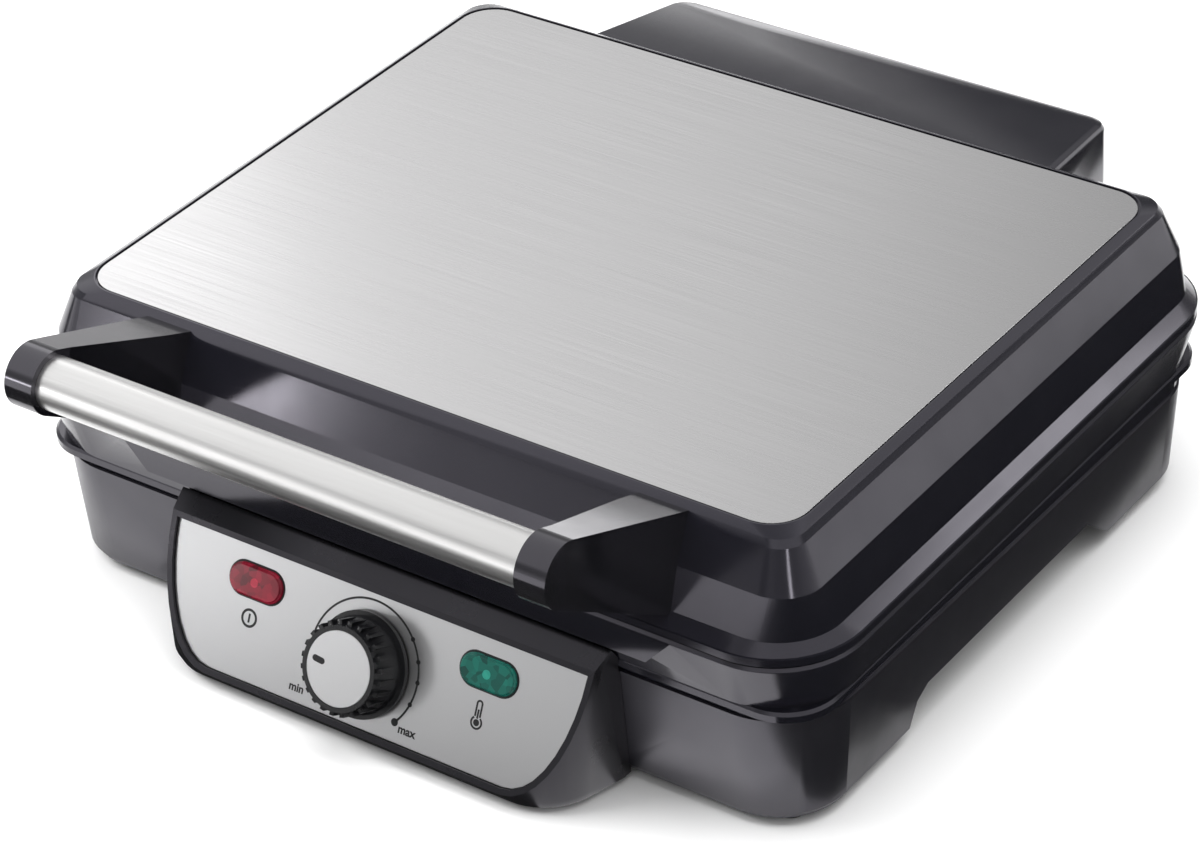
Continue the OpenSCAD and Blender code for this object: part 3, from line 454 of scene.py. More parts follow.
class Workshop:
    """Makes pieces, gives them their finish and sets them on their body.

    Attributes:
        merge: Distance under which two points are one.
        flat: Angle under which two faces are one.
        level: Rise under which an edge is level.
    """

    merge: float = 0.002 * MM
    flat: float = math.radians(0.5)
    level: float = 0.02 * MM

    @staticmethod
    def place(
        name: str,
        work: bmesh.types.BMesh,
        finish: Finish,
        body: Body,
        slot: str,
        smooth: bool = True,
    ) -> bpy.types.Object:
        """Turns a bmesh into a piece that rides on a body.

        Args:
            name: Name of the piece.
            work: The shape, in the frame's own place. It is freed.
            finish: Finish of the piece.
            body: Body that the piece rides on.
            slot: The record's slot that the finish stands for. Not used.
            smooth: Whether the faces are shaded smooth.

        Returns:
            The piece.
        """
        mesh = bpy.data.meshes.new(name)
        for face in work.faces:
            face.smooth = smooth
        work.to_mesh(mesh)
        work.free()
        piece = bpy.data.objects.new(name, mesh)
        bpy.context.scene.collection.objects.link(piece)
        mesh.materials.append(Finishes.of(finish))
        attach(piece, body.value)
        log.info("made %s", name)
        return piece

    @classmethod
    def level_edges(cls, work: bmesh.types.BMesh, edge: SoftEdge) -> list[int]:
        """Finds the level edges where two leaning faces meet at a slight angle.

        Args:
            work: The shape.
            edge: How its edges are softened.

        Returns:
            Indices of the edges.
        """
        work.edges.index_update()
        found = []
        for line in work.edges:
            rise = abs(line.verts[0].co.z - line.verts[1].co.z)
            if rise < cls.level and line.calc_face_angle(0.0) > edge.level_break:
                found.append(line.index)
        return found

    @staticmethod
    def soften(piece: bpy.types.Object, edge: SoftEdge, levels: list[int]) -> None:
        """Rounds a piece's sharp edges and keeps its broad faces flat.

        Args:
            piece: The piece.
            edge: How its edges are softened.
            levels: Indices of further edges that stay crisp.
        """
        piece.data.set_sharp_from_angle(angle=edge.sharper_than)
        for index in levels:
            piece.data.edges[index].use_edge_sharp = True
        bevel = piece.modifiers.new("soft_edge", "BEVEL")
        bevel.width = edge.width
        bevel.segments = edge.segments
        bevel.limit_method = "ANGLE"
        bevel.angle_limit = edge.sharper_than
        bevel.miter_outer = "MITER_ARC"
        bevel.harden_normals = True
        bevel.use_clamp_overlap = True

    @classmethod
    def dress(
        cls,
        node: str,
        finish: Finish,
        body: Body,
        slot: str,
        edge: SoftEdge | None = SoftEdge(),
        split: bool = False,
    ) -> None:
        """Stands a smooth, soft-edged piece in for a solid of the frame.

        Args:
            node: Name of the solid.
            finish: Finish of the piece.
            body: Body that the solid rides on.
            slot: The record's slot that the finish stands for. Passed on to place, which does not
                use it.
            edge: How its edges are softened, or None to leave them crisp.
            split: Whether its pierced and concave faces are split into convex ones.
        """
        work = bmesh.new()
        work.from_mesh(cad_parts[node].data)
        bmesh.ops.remove_doubles(work, verts=work.verts, dist=cls.merge)
        bmesh.ops.dissolve_limit(work, angle_limit=cls.flat, verts=work.verts, edges=work.edges)
        if split:
            bmesh.ops.connect_verts_concave(work, faces=work.faces)
        levels = [] if edge is None else cls.level_edges(work, edge)
        piece = cls.place(node + "_finished", work, finish, body, slot)
        if edge is None:
            piece.data.set_sharp_from_angle(angle=SHARP)
        else:
            cls.soften(piece, edge, levels)
        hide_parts(node)

    @staticmethod
    def paint(node: str, finish: Finish, slot: str) -> None:
        """Gives a solid of the frame its finish and leaves it as it is.

        Args:
            node: Name of the solid.
            finish: Finish of the solid.
            slot: The record's slot that the finish stands for. Not used.
        """
        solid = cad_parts[node]
        solid.data.materials.clear()
        solid.data.materials.append(Finishes.of(finish))
        log.info("painted %s", node)


class Print:
    """Thin shapes of ink, drawn in x and y, that rise from z = 0 towards the eye.

    Attributes:
        thickness: Thickness of the ink.
        turn_steps: Faces for each radian of a curved strip.
        least_steps: Fewest faces of a curved strip.
        dot_sides: Sides of a dot.
        end_steps: Sides of a round end.
    """

    thickness: float = 0.04 * MM
    turn_steps: int = 20
    least_steps: int = 12
    dot_sides: int = 24
    end_steps: int = 16

    @classmethod
    def thicken(cls, work: bmesh.types.BMesh) -> bmesh.types.BMesh:
        """Gives a flat shape the thickness of the ink.

        Args:
            work: The flat shape.

        Returns:
            The same shape, now thick.
        """
        bmesh.ops.recalc_face_normals(work, faces=work.faces)
        grown = bmesh.ops.extrude_face_region(work, geom=list(work.faces))
        verts = [v for v in grown["geom"] if isinstance(v, bmesh.types.BMVert)]
        bmesh.ops.translate(work, verts=verts, vec=(0, 0, cls.thickness))
        bmesh.ops.recalc_face_normals(work, faces=work.faces)
        return work

    @classmethod
    def strip(cls, radius: float, width: float, start: float, end: float) -> bmesh.types.BMesh:
        """Makes a curved strip round the origin.

        Args:
            radius: Radius of its middle line.
            width: Width of the strip.
            start: Angle at which it starts.
            end: Angle at which it ends.

        Returns:
            The strip.
        """
        work = bmesh.new()
        inner = work.verts.new((radius - width / 2, 0.0, 0.0))
        outer = work.verts.new((radius + width / 2, 0.0, 0.0))
        edge = work.edges.new((inner, outer))
        turn = Matrix.Rotation(start, 3, "Z")
        bmesh.ops.rotate(work, verts=work.verts, cent=(0, 0, 0), matrix=turn)
        sweep = end - start
        bmesh.ops.spin(
            work,
            geom=[edge],
            cent=(0, 0, 0),
            axis=(0, 0, 1),
            angle=sweep,
            steps=max(cls.least_steps, int(abs(sweep) * cls.turn_steps)),
            use_merge=math.isclose(sweep, math.tau),
        )
        return cls.thicken(work)

    @classmethod
    def dot(cls, radius: float) -> bmesh.types.BMesh:
        """Makes a round dot.

        Args:
            radius: Its radius.

        Returns:
            The dot.
        """
        work = bmesh.new()
        bmesh.ops.create_circle(work, cap_ends=True, radius=radius, segments=cls.dot_sides)
        return cls.thicken(work)

    @classmethod
    def bar(cls, width: float, height: float) -> bmesh.types.BMesh:
        """Makes an upright bar.

        Args:
            width: Its width.
            height: Its height.

        Returns:
            The bar.
        """
        work = bmesh.new()
        bmesh.ops.create_grid(work, x_segments=1, y_segments=1, size=0.5)
        bmesh.ops.scale(work, vec=(width, height, 1.0), verts=work.verts)
        return cls.thicken(work)

    @classmethod
    def stadium(cls, width: float, height: float, wall: float | None = None) -> bmesh.types.BMesh:
        """Makes a shape with two round ends.

        Args:
            width: Its width.
            height: Its height.
            wall: Width of its border, or None for a full shape.

        Returns:
            The shape.
        """
        work = bmesh.new()
        half = (width - height) / 2
        for inset in (0.0,) if wall is None else (0.0, wall):
            reach = height / 2 - inset
            verts = []
            for end, start in ((half, 0.0), (-half, math.pi)):
                for step in range(cls.end_steps + 1):
                    turn = start + math.pi * (step / cls.end_steps - 0.5)
                    x, y = end + reach * math.cos(turn), reach * math.sin(turn)
                    verts.append(work.verts.new((x, y, 0.0)))
            for one, other in zip(verts, verts[1:] + verts[:1]):
                work.edges.new((one, other))
        if wall is None:
            bmesh.ops.contextual_create(work, geom=list(work.edges))
        else:
            bmesh.ops.bridge_loops(work, edges=list(work.edges))
        return cls.thicken(work)

    @classmethod
    def word(cls, text: str, size: float, heavy: float) -> bmesh.types.BMesh:
        """Makes a word with its middle at the origin.

        Args:
            text: The word.
            size: Size of its letters.
            heavy: How far its strokes are thickened on each side.

        Returns:
            The word.
        """
        curve = bpy.data.curves.new(text, "FONT")
        curve.body = text
        curve.size = size
        curve.align_x = "CENTER"
        curve.align_y = "CENTER"
        curve.extrude = cls.thickness / 2
        curve.offset = heavy
        holder = bpy.data.objects.new("holder", curve)
        bpy.context.scene.collection.objects.link(holder)
        bpy.context.view_layer.update()
        work = bmesh.new()
        work.from_mesh(holder.evaluated_get(bpy.context.evaluated_depsgraph_get()).to_mesh())
        bpy.data.objects.remove(holder)
        bmesh.ops.translate(work, verts=work.verts, vec=(0, 0, cls.thickness / 2))
        return work


# ---------------------------------------------------------------- sub-assemblies


@dataclass
class Lid:
    """Lid shell with its brushed sheet, frame and hinge cover."""

    shell_edge: SoftEdge = SoftEdge(1.0 * MM, 4, level_break=math.radians(3))
    sheet_edge: SoftEdge = SoftEdge(0.15 * MM, 2)
    cover_edge: SoftEdge = SoftEdge(0.9 * MM, 4)

    def build(self) -> None:
        """Dresses the lid."""
        Workshop.dress("lid_shell", Finishes.shell, Body.LID, "shell_black", self.shell_edge)
        Workshop.dress("lid_sheet", Finishes.sheet, Body.LID, "lid_steel", self.sheet_edge)
        Workshop.dress("hinge_cover", Finishes.shell, Body.LID, "shell_black", self.cover_edge)
        Workshop.paint("lid_frame", Finishes.inner, "plastic_dark")
        Workshop.paint("hinge_pins", Finishes.steel, "zinc_steel")


@dataclass
class Base:
    """Frame, skirt, floor plate and what is fixed under them."""

    frame_edge: SoftEdge = SoftEdge(0.5 * MM, 3, level_break=math.radians(12))
    skirt_edge: SoftEdge = SoftEdge(1.2 * MM, 4)

    def build(self) -> None:
        """Dresses the base."""
        Workshop.dress("base_frame", Finishes.shell, Body.BASE, "shell_black", self.frame_edge)
        Workshop.dress("base_skirt", Finishes.body, Body.BASE, "shell_black", self.skirt_edge)
        Workshop.paint("base_floor", Finishes.inner, "plastic_dark")
        Workshop.paint("hinge_bushes", Finishes.steel, "brass")
        Workshop.paint("terminal_block", Finishes.ceramic, "ceramic_cream")
        Workshop.paint("base_screws", Finishes.steel, "zinc_steel")
        Workshop.dress("cord_gland", Finishes.rubber, Body.BASE, "rubber_black")
        for row in ("box", "front", "rear"):
            for side in ("left", "right"):
                Workshop.paint(f"foot_{row}_{side}", Finishes.rubber, "rubber_black")


@dataclass
class Plates:
    """Waffle plates with their heaters and reflector trays."""

    edge: SoftEdge = SoftEdge(0.9 * MM, 3)

    def build(self) -> None:
        """Dresses the plates."""
        for side, body in (("lower", Body.BASE), ("upper", Body.LID)):
            plate = side + "_plate"
            Workshop.dress(plate, Finishes.plate, body, "nonstick", self.edge, split=True)
            Workshop.paint(side + "_heater", Finishes.heater, "zinc_steel")
            Workshop.paint(side + "_tray", Finishes.tray, "tray_aluminium")


@dataclass
class Handle:
    """Two glossy arms that carry a bar."""

    arm_edge: SoftEdge = SoftEdge(1.6 * MM, 4)

    def build(self) -> None:
        """Dresses the handle."""
        for side in ("left", "right"):
            Workshop.dress("arm_" + side, Finishes.arm, Body.LID, "arm_black", self.arm_edge)
        Workshop.dress("handle_bar", Finishes.bar, Body.LID, "bar_aluminium", None)
        Workshop.paint("handle_rod", Finishes.steel, "zinc_steel")


@dataclass(frozen=True)
class DialMark:
    """Print round the knob: an arc with dots, a bold dot at one end, and two words.

    Attributes:
        radius: Radius of the arc.
        line: Width of the arc.
        start: Angle of the arc's end with the bold dot.
        end: Angle of its other end.
        dots: Angles of the dots on the arc.
        dot_r: Radius of a dot.
        bold_r: Radius of the bold dot.
        low_at: Place of the word for the lowest heat.
        high_at: Place of the word for the highest heat.
        letter: Size of the letters.
        heavy: How far their strokes are thickened on each side.
    """

    radius: float = 20.8 * MM
    line: float = 0.7 * MM
    start: float = math.radians(-42)
    end: float = math.radians(222)
    dots: tuple[float, ...] = tuple(math.radians(angle) for angle in (40.0, 20.0, 2.0, -19.0))
    dot_r: float = 0.8 * MM
    bold_r: float = 1.3 * MM
    low_at: Spot = (-23.0 * MM, 38.6 * MM)
    high_at: Spot = (20.5 * MM, 38.4 * MM)
    letter: float = 3.9 * MM
    heavy: float = 0.12 * MM


@dataclass(frozen=True)
class PowerMark:
    """Printed on/off mark: a ring with an upright bar in it."""

    at: Spot = (-45.9 * MM, 23.0 * MM)
    radius: float = 2.7 * MM
    line: float = 0.85 * MM
    bar_w: float = 0.75 * MM
    bar_h: float = 3.0 * MM


@dataclass(frozen=True)
class WarmMark:
    """Printed thermometer: an open bulb with a drop in it, and a stem with a column in it.

    Attributes:
        at: Place of the mark.
        line: Width of its lines.
        bulb_r: Radius of the bulb's line.
        drop_r: Radius of the drop.
        bulb_down: How far down the bulb lies.
        bulb_from: Angle at which the bulb's line starts.
        bulb_to: Angle at which the bulb's line ends.
        stem_w: Width of the stem over its lines.
        stem_h: Height of the stem's lines.
        stem_up: How far up the stem's lines lie.
        column: Height of the column as a share of the stem's.
        column_down: How far down the column lies.
    """

    at: Spot = (44.5 * MM, 23.5 * MM)
    line: float = 0.65 * MM
    bulb_r: float = 1.9 * MM
    drop_r: float = 1.1 * MM
    bulb_down: float = 3.6 * MM
    bulb_from: float = math.radians(125)
    bulb_to: float = math.radians(415)
    stem_w: float = 2.5 * MM
    stem_h: float = 4.2 * MM
    stem_up: float = 0.4 * MM
    column: float = 0.7
    column_down: float = 0.8 * MM


@dataclass
class ControlPanel:
    """Control box with its brushed panel, lenses and print.

    A place on the panel is given across it, from its middle, and down it, from its top edge.

    Attributes:
        tilt: Lean of the panel from upright.
        thickness: Thickness of the panel.
        knob_v: Place of the knob down the panel.
        lens_w: Width of a lens.
        lens_h: Height of a lens.
        border_out: How much wider and higher a lens's dark border is than the lens.
        border_w: Width of the border's line.
        glow_spot_r: Radius of the painted bright spot of lamp light at a lens's middle.
        dial: Print round the knob.
        power: On/off mark under the red lens.
        warm: Thermometer under the green lens.
    """

    tilt: float = math.radians(25.5)
    thickness: float = 0.8 * MM
    knob_v: float = 23.0 * MM
    lens_w: float = 21.0 * MM
    lens_h: float = 10.5 * MM
    border_out: float = 1.4 * MM
    border_w: float = 1.2 * MM
    glow_spot_r: float = 1.5 * MM
    box_edge: SoftEdge = SoftEdge(0.8 * MM, 4)
    panel_edge: SoftEdge = SoftEdge(0.12 * MM, 2)
    lens_edge: SoftEdge = SoftEdge(0.3 * MM, 3)
    dial: DialMark = DialMark()
    power: PowerMark = PowerMark()
    warm: WarmMark = WarmMark()

    def __post_init__(self) -> None:
        """Works out where the panel's own plane lies."""
        _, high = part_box("panel")
        lean = math.pi / 2 - self.tilt
        origin = Vector((0.0, high.y - self.thickness * math.cos(self.tilt), high.z))
        self.plane = Matrix.Translation(origin) @ Euler((lean, 0.0, 0.0)).to_matrix().to_4x4()

    def on_panel(self, work: bmesh.types.BMesh, u: float, v: float) -> None:
        """Moves a flat shape onto the panel.

        Args:
            work: The shape, drawn in x and y with z out of the panel.
            u: Place across the panel.
            v: Place down the panel.
        """
        work.transform(self.plane @ Matrix.Translation((u, -v, 0.0)))

    def ink(self, name: str, work: bmesh.types.BMesh, u: float, v: float) -> None:
        """Prints a shape on the panel.

        Args:
            name: Name of the print.
            work: The shape.
            u: Place across the panel.
            v: Place down the panel.
        """
        self.on_panel(work, u, v)
        Workshop.place(name, work, Finishes.ink, Body.BASE, "plastic_dark", smooth=False)

    def lens(self, node: str, finish: Finish, glow_spot: Finish, slot: str) -> None:
        """Dresses a lens and gives it its dark border and a painted bright spot of lamp light at
        its middle.

        Args:
            node: Name of the lens.
            finish: Finish of the lens.
            glow_spot: Finish of the painted bright spot of lamp light at its middle.
            slot: The record's slot of the lens. Passed on, not used.
        """
        Workshop.dress(node, finish, Body.BASE, slot, self.lens_edge, split=True)
        flat = self.plane.inverted()
        points = [flat @ vert.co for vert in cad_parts[node].data.vertices]
        face = max(p.z for p in points)
        u = (max(p.x for p in points) + min(p.x for p in points)) / 2
        v = -(max(p.y for p in points) + min(p.y for p in points)) / 2
        width, height = self.lens_w + self.border_out, self.lens_h + self.border_out
        self.ink(node + "_border", Print.stadium(width, height, self.border_w), u, v)
        # A bright disc at the lens's middle: painted light of the lamp behind the lens.
        work = Print.dot(self.glow_spot_r)
        bmesh.ops.translate(work, verts=work.verts, vec=(0.0, 0.0, face))
        self.on_panel(work, u, v)
        Workshop.place(node + "_core", work, glow_spot, Body.BASE, slot, smooth=False)

    def dial_dot(self, name: str, turn: float, radius: float) -> None:
        """Prints a dot on the dial's arc.

        Args:
            name: Name of the dot.
            turn: Its angle on the arc.
            radius: Its radius.
        """
        u = self.dial.radius * math.cos(turn)
        v = self.knob_v - self.dial.radius * math.sin(turn)
        self.ink(name, Print.dot(radius), u, v)

    def print_dial(self) -> None:
        """Prints the arc, its dots and the two words round the knob."""
        dial = self.dial
        arc = Print.strip(dial.radius, dial.line, dial.start, dial.end)
        self.ink("dial_arc", arc, 0.0, self.knob_v)
        for number, turn in enumerate(dial.dots, start=1):
            self.dial_dot(f"dial_dot_{number}", turn, dial.dot_r)
        self.dial_dot("dial_end", dial.start, dial.bold_r)
        for text, spot in (("min", dial.low_at), ("max", dial.high_at)):
            self.ink("dial_" + text, Print.word(text, dial.letter, dial.heavy), *spot)

    def print_power(self) -> None:
        """Prints the on/off mark under the red lens."""
        mark = self.power
        ring = Print.strip(mark.radius, mark.line, 0.0, math.tau)
        self.ink("power_ring", ring, *mark.at)
        self.ink("power_bar", Print.bar(mark.bar_w, mark.bar_h), *mark.at)

    def print_warm(self) -> None:
        """Prints the thermometer under the green lens."""
        mark = self.warm
        u, v = mark.at
        bulb_v, stem_v = v + mark.bulb_down, v - mark.stem_up
        half = (mark.stem_w - mark.line) / 2
        bulb = Print.strip(mark.bulb_r, mark.line, mark.bulb_from, mark.bulb_to)
        self.ink("warm_bulb", bulb, u, bulb_v)
        self.ink("warm_drop", Print.dot(mark.drop_r), u, bulb_v)
        for name, side in (("warm_stem_left", u - half), ("warm_stem_right", u + half)):
            self.ink(name, Print.bar(mark.line, mark.stem_h), side, stem_v)
        top = Print.strip(half, mark.line, 0.0, math.pi)
        self.ink("warm_top", top, u, stem_v - mark.stem_h / 2)
        column = Print.bar(mark.line, mark.stem_h * mark.column)
        self.ink("warm_column", column, u, v + mark.column_down)

    def build(self) -> None:
        """Dresses the box and prints the panel."""
        Workshop.dress("control_box", Finishes.box, Body.BASE, "shell_black", self.box_edge)
        Workshop.dress("panel", Finishes.panel, Body.BASE, "panel_steel", self.panel_edge)
        self.lens("power_lens", Finishes.red, Finishes.red_glow_spot, "lens_red")
        self.lens("ready_lens", Finishes.green, Finishes.green_glow_spot, "lens_green")
        for lamp in ("power_lamp", "ready_lamp"):
            Workshop.paint(lamp, Finishes.lamp, "lamp_glass")
        self.print_dial()
        self.print_power()
        self.print_warm()


@dataclass
class Thermostat:
    """Thermostat behind the panel with its knob.

    Attributes:
        panel: The panel that the knob stands on.
        pointer_l: Length of the pointer on the knob's disc.
        pointer_w: Width of the pointer.
        pointer_r: Distance from the disc's middle to the pointer's.
        pointer_turn: Angle at which the pointer stands.
    """

    panel: ControlPanel
    pointer_l: float = 4.8 * MM
    pointer_w: float = 2.1 * MM
    pointer_r: float = 7.8 * MM
    pointer_turn: float = math.radians(175)
    knob_edge: SoftEdge = SoftEdge(0.25 * MM, 2)
    disc_edge: SoftEdge = SoftEdge(0.2 * MM, 2)

    def build(self) -> None:
        """Dresses the thermostat and its knob."""
        Workshop.paint("thermostat", Finishes.ceramic, "ceramic_cream")
        Workshop.paint("thermostat_bracket", Finishes.steel, "zinc_steel")
        Workshop.paint("thermostat_shaft", Finishes.steel, "zinc_steel")
        Workshop.dress("knob", Finishes.knob, Body.KNOB, "knob_black", self.knob_edge)
        Workshop.dress("knob_cap", Finishes.disc, Body.KNOB, "panel_steel", self.disc_edge)
        self.pointer()

    def pointer(self) -> None:
        """Prints the short pointer on the knob's disc."""
        out = self.panel.plane.to_3x3() @ Vector((0, 0, 1))
        face = max(vert.co.dot(out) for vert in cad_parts["knob_cap"].data.vertices)
        height = face - self.panel.plane.translation.dot(out)
        work = Print.stadium(self.pointer_l, self.pointer_w)
        bmesh.ops.translate(work, verts=work.verts, vec=(self.pointer_r, 0, height))
        turn = Matrix.Rotation(self.pointer_turn, 3, "Z")
        bmesh.ops.rotate(work, verts=work.verts, cent=(0, 0, 0), matrix=turn)
        self.panel.on_panel(work, 0.0, self.panel.knob_v)
        Workshop.place("knob_pointer", work, Finishes.ink, Body.KNOB, "plastic_dark", smooth=False)


# ---------------------------------------------------------------- studio


@dataclass
class Camera:
    """Camera that looks down on the front right corner.

    Attributes:
        azimuth: Its turn to the right, seen from the front.
        elevation: Its angle above the table.
        roll: Its lean.
        distance: Its distance from the lid's sheet.
        aim: How far right of and above the middle of the picture the sheet's middle lies.
        sheet_centre: Middle of the lid's sheet.
        lens: Focal length in millimetres.
        sensor: Width of the sensor in millimetres.
        near: Distance from which things are seen.
    """

    azimuth: float = math.radians(36.80)
    elevation: float = math.radians(33.689)
    roll: float = math.radians(-3.114)
    distance: float = 1.3546
    aim: Spot = (6.12 * MM, 61.30 * MM)
    sheet_centre: Point = (0.0, 7.9 * MM, 104.0 * MM)
    lens: float = 125.7
    sensor: float = 36.0
    near: float = 50.0 * MM

    def build(self) -> None:
        """Makes the camera and gives it to the scene."""
        ahead, aside = math.cos(self.azimuth), math.sin(self.azimuth)
        out, rise = math.cos(self.elevation), math.sin(self.elevation)
        back = Vector((aside * out, -ahead * out, rise))
        level = Vector((ahead, aside, 0.0))
        upright = back.cross(level)
        right = level * math.cos(self.roll) + upright * math.sin(self.roll)
        up = upright * math.cos(self.roll) - level * math.sin(self.roll)
        middle = Vector(self.sheet_centre) - self.aim[0] * right - self.aim[1] * up
        data = bpy.data.cameras.new("camera")
        data.lens = self.lens
        data.sensor_width = self.sensor
        data.sensor_fit = "HORIZONTAL"
        data.clip_start = self.near
        camera = bpy.data.objects.new("camera", data)
        turn = Matrix((right, up, back)).transposed()
        place = Matrix.Translation(middle + self.distance * back)
        camera.matrix_world = place @ turn.to_4x4()
        bpy.context.scene.collection.objects.link(camera)
        bpy.context.scene.camera = camera


@dataclass(frozen=True)
class Card:
    """A card of some strength that only shows as a reflection in gloss."""

    name: str
    strength: float

    def corners(self) -> tuple[Point, ...]:
        """Gives its four corners."""
        raise NotImplementedError(self.name)


@dataclass(frozen=True)
class GroundCard(Card):
    """Card that lies on the floor.

    Attributes:
        low: Its corner with the lowest x and y.
        high: Its corner with the highest x and y.
        lift: Its height above the floor.
    """

    low: Spot
    high: Spot
    lift: float = 1 * MM

    def corners(self) -> tuple[Point, ...]:
        """Gives its four corners."""
        (left, front), (right, back), lift = self.low, self.high, self.lift
        return (left, front, lift), (right, front, lift), (right, back, lift), (left, back, lift)


@dataclass(frozen=True)
class WallCard(Card):
    """Card that stands upright and faces the object.

    Attributes:
        towards: Direction from the object to the card, as seen from above.
        away: Distance of the card.
        width: Width of the card.
        rise: Heights of its lower and upper edge.
    """

    towards: Spot
    away: float
    width: float
    rise: tuple[float, float]

    def corners(self) -> tuple[Point, ...]:
        """Gives its four corners."""
        x, y = self.towards
        half = self.width / 2
        left = (x * self.away - y * half, y * self.away + x * half)
        right = (x * self.away + y * half, y * self.away - x * half)
        low, high = self.rise
        return (*left, low), (*right, low), (*right, high), (*left, high)


@dataclass(frozen=True)
class LampCard(Card):
    """Card that hangs in the room and faces the object.

    Attributes:
        at: Its middle.
        width: Its width.
        height: Its height.
    """

    at: Point
    width: float
    height: float

    def corners(self) -> tuple[Point, ...]:
        """Gives its four corners."""
        middle = Vector(self.at)
        across = middle.cross(Vector((0.0, 0.0, 1.0))).normalized() * self.width / 2
        rise = across.cross(middle).normalized() * self.height / 2
        signs = ((-1, -1), (1, -1), (1, 1), (-1, 1))
        return tuple(tuple(middle + x * across + y * rise) for x, y in signs)


@dataclass(frozen=True)
class SoftBox:
    """Square soft light that points at the object and that gloss doesn't mirror.

    Attributes:
        at: Its place.
        size: Its width and height.
        watts: Its power.
        target: The point that it lights.
    """

    name: str
    at: Point
    size: float
    watts: float
    target: Point = (0.0, 0.0, 50.0 * MM)

    def build(self) -> None:
        """Makes the light."""
        data = bpy.data.lights.new(self.name, "AREA")
        data.shape = "RECTANGLE"
        data.size = data.size_y = self.size
        data.energy = self.watts
        lamp = bpy.data.objects.new(self.name, data)
        aim = Vector(self.target) - Vector(self.at)
        turn = aim.to_track_quat("-Z", "Y").to_matrix().to_4x4()
        lamp.matrix_world = Matrix.Translation(self.at) @ turn
        lamp.visible_glossy = False
        bpy.context.scene.collection.objects.link(lamp)


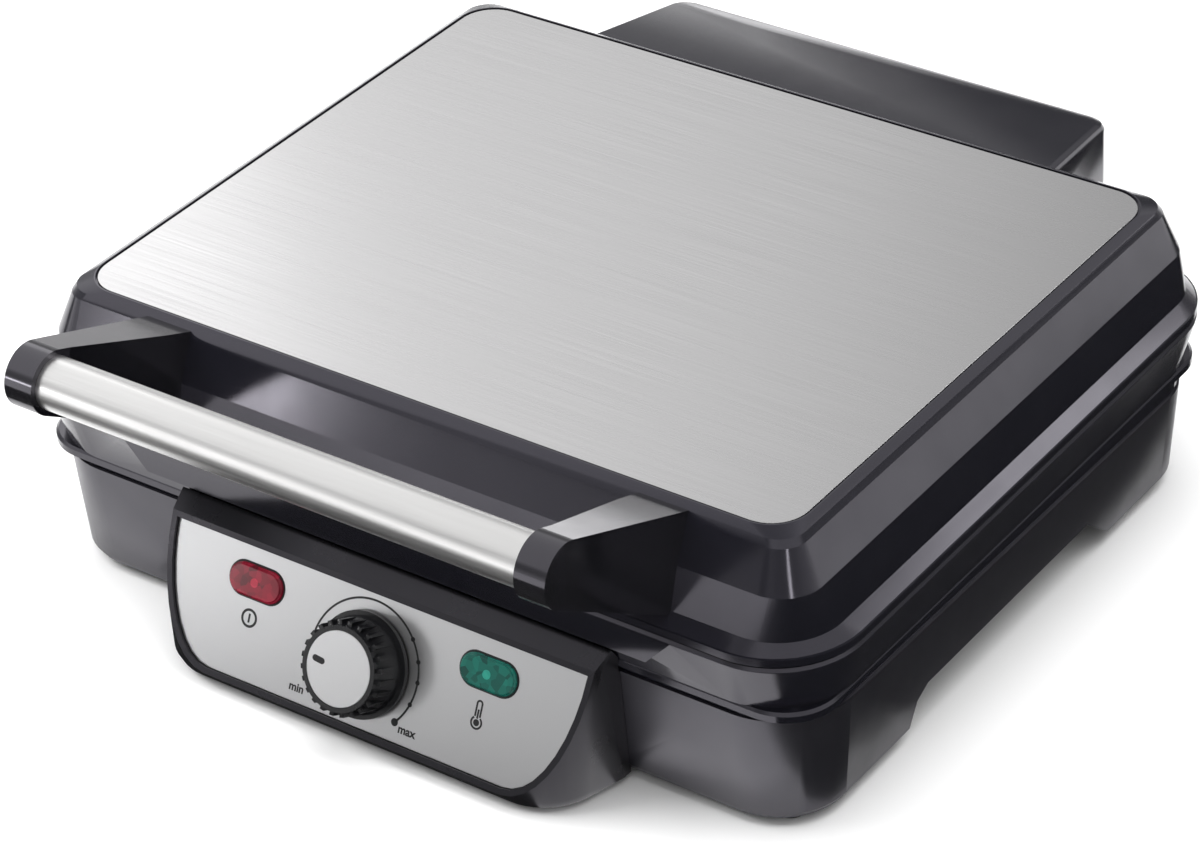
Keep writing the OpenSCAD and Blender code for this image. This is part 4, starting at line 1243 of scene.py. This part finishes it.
@dataclass
class Studio:
    """Pale floor, soft light and the cards that the gloss mirrors.

    Attributes:
        floor_size: Width and depth of the floor.
        floor_colour: Colour of the floor.
        floor_roughness: Roughness of the floor.
        floor_specular: Strength of the floor's mirroring.
        cards: The cards.
        lights: The lights.
        sides: Brightness of the room from the left (-1) to the right (1).
        heights: Brightness of the room from level (0) to straight above (1).
    """

    floor_size: float = 14.0
    floor_colour: Colour = (0.92, 0.92, 0.92)
    floor_roughness: float = 0.9
    floor_specular: float = 0.1
    cards: tuple[Card, ...] = (
        GroundCard("side_card", 0.03, low=(0.152, -0.45), high=(0.60, 0.60)),
        GroundCard("left_card", 1.4, low=(-0.60, -0.20), high=(-0.11, -0.12)),
        GroundCard("right_card", 1.5, low=(0.07, -0.165), high=(0.151, -0.12)),
        GroundCard("box_card", 0.04, low=(-0.11, -0.20), high=(0.07, -0.12)),
        GroundCard("bar_card", 0.08, low=(-1.20, -0.42), high=(0.152, -0.20)),
        GroundCard("front_card", 1.6, low=(-1.80, -2.00), high=(0.152, -0.42)),
        WallCard("arm_card", 2.9, (-0.407, 0.913), away=2.0, width=0.66, rise=(0.0, 0.17)),
        WallCard("bevel_card", 12.5, (-0.595, -0.804), away=1.0, width=0.12, rise=(0.118, 0.168)),
        LampCard("sheet_card", 1.9, at=(-1.38, 0.98, 0.90), width=0.5, height=0.7),
        LampCard("edge_card", 4.2, at=(1.07, 1.33, 0.95), width=0.5, height=0.5),
        LampCard("corner_card", 8.0, at=(0.84, -0.65, 0.28), width=0.09, height=0.12),
    )
    lights: tuple[SoftBox, ...] = (
        SoftBox("key", (-1.5, -0.9, 2.0), size=1.4, watts=45.0),
        SoftBox("top", (0.3, 0.2, 2.4), size=2.4, watts=62.0),
    )
    sides: tuple[Spot, ...] = (
        (-1.0, 1.25),
        (-0.62, 1.25),
        (-0.56, 1.14),
        (-0.47, 0.98),
        (-0.40, 0.46),
        (-0.30, 0.36),
        (-0.20, 0.40),
        (0.0, 0.85),
        (0.4, 0.75),
        (0.7, 0.8),
        (1.0, 0.9),
    )
    heights: tuple[Spot, ...] = (
        (0.0, 0.8),
        (0.08, 0.6),
        (0.18, 0.34),
        (0.34, 0.42),
        (0.46, 1.0),
        (1.0, 1.0),
    )

    def plane(self, name: str, corners: tuple[Point, ...]) -> bpy.types.Object:
        """Makes a flat piece of the stage.

        Args:
            name: Name of the piece.
            corners: Its four corners.

        Returns:
            The piece.
        """
        work = bmesh.new()
        work.faces.new([work.verts.new(corner) for corner in corners])
        mesh = bpy.data.meshes.new(name)
        work.to_mesh(mesh)
        work.free()
        piece = bpy.data.objects.new(name, mesh)
        bpy.context.scene.collection.objects.link(piece)
        return piece

    def floor(self) -> None:
        """Makes the floor."""
        half = self.floor_size / 2
        corners = ((-half, -half, 0), (half, -half, 0), (half, half, 0), (-half, half, 0))
        floor = self.plane("floor", corners)
        shader = Shader("floor_white")
        shader.set(Base_Color=self.floor_colour, Roughness=self.floor_roughness)
        shader.set(Specular_IOR_Level=self.floor_specular)
        floor.data.materials.append(shader.material)

    def hang(self, card: Card) -> None:
        """Puts up a card.

        Args:
            card: The card.
        """
        piece = self.plane(card.name, card.corners())
        shader = Shader(card.name)
        shader.set(Base_Color=(0.0, 0.0, 0.0), Specular_IOR_Level=0.0)
        shader.set(Emission_Color=(1.0, 1.0, 1.0), Emission_Strength=card.strength)
        piece.data.materials.append(shader.material)
        piece.visible_camera = False
        piece.visible_diffuse = False
        piece.visible_shadow = False
        piece.visible_transmission = False

    @staticmethod
    def ramp(tree: bpy.types.NodeTree, stops: tuple[Spot, ...]) -> bpy.types.Node:
        """Makes a ramp of grey.

        Args:
            tree: Node tree of the room.
            stops: Places from 0 to 1 with their brightness.

        Returns:
            The ramp.
        """
        ramp = tree.nodes.new("ShaderNodeValToRGB")
        elements = ramp.color_ramp.elements
        elements[0].position, elements[1].position = stops[0][0], stops[-1][0]
        for at, _ in stops[1:-1]:
            elements.new(at)
        for element, (_, value) in zip(elements, stops):
            element.color = (value, value, value, 1.0)
        return ramp

    def sky(self) -> None:
        """Gives the room a light that is strongest on the left and above."""
        world = bpy.data.worlds.new("room")
        world.use_nodes = True
        tree = world.node_tree
        place = tree.nodes.new("ShaderNodeTexCoord")
        split = tree.nodes.new("ShaderNodeSeparateXYZ")
        across = tree.nodes.new("ShaderNodeMapRange")
        across.inputs["From Min"].default_value = -1.0
        mix = tree.nodes.new("ShaderNodeMix")
        mix.data_type = "RGBA"
        mix.blend_type = "MULTIPLY"
        mix.clamp_result = False
        mix.inputs["Factor"].default_value = 1.0
        side = self.ramp(tree, tuple(((x + 1) / 2, value) for x, value in self.sides))
        height = self.ramp(tree, self.heights)
        tree.links.new(place.outputs["Generated"], split.inputs["Vector"])
        tree.links.new(split.outputs["X"], across.inputs["Value"])
        tree.links.new(across.outputs["Result"], side.inputs["Fac"])
        tree.links.new(split.outputs["Z"], height.inputs["Fac"])
        tree.links.new(side.outputs["Color"], mix.inputs["A"])
        tree.links.new(height.outputs["Color"], mix.inputs["B"])
        tree.links.new(mix.outputs["Result"], tree.nodes["Background"].inputs["Color"])
        bpy.context.scene.world = world

    def build(self) -> None:
        """Sets up the floor, the cards, the lights and the room."""
        self.floor()
        for card in self.cards:
            self.hang(card)
        for light in self.lights:
            light.build()
        self.sky()
        bpy.context.scene.view_settings.view_transform = "Standard"


def main() -> None:
    """Builds the waffle maker and the studio."""
    logging.basicConfig(level=logging.INFO, format="%(name)s: %(message)s")
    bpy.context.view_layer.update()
    panel = ControlPanel()
    for part in (Base(), Lid(), Plates(), Handle(), panel, Thermostat(panel)):
        part.build()
        log.info("built %s", type(part).__name__)
    Camera().build()
    Studio().build()


if __name__ == "__main__":
    main()
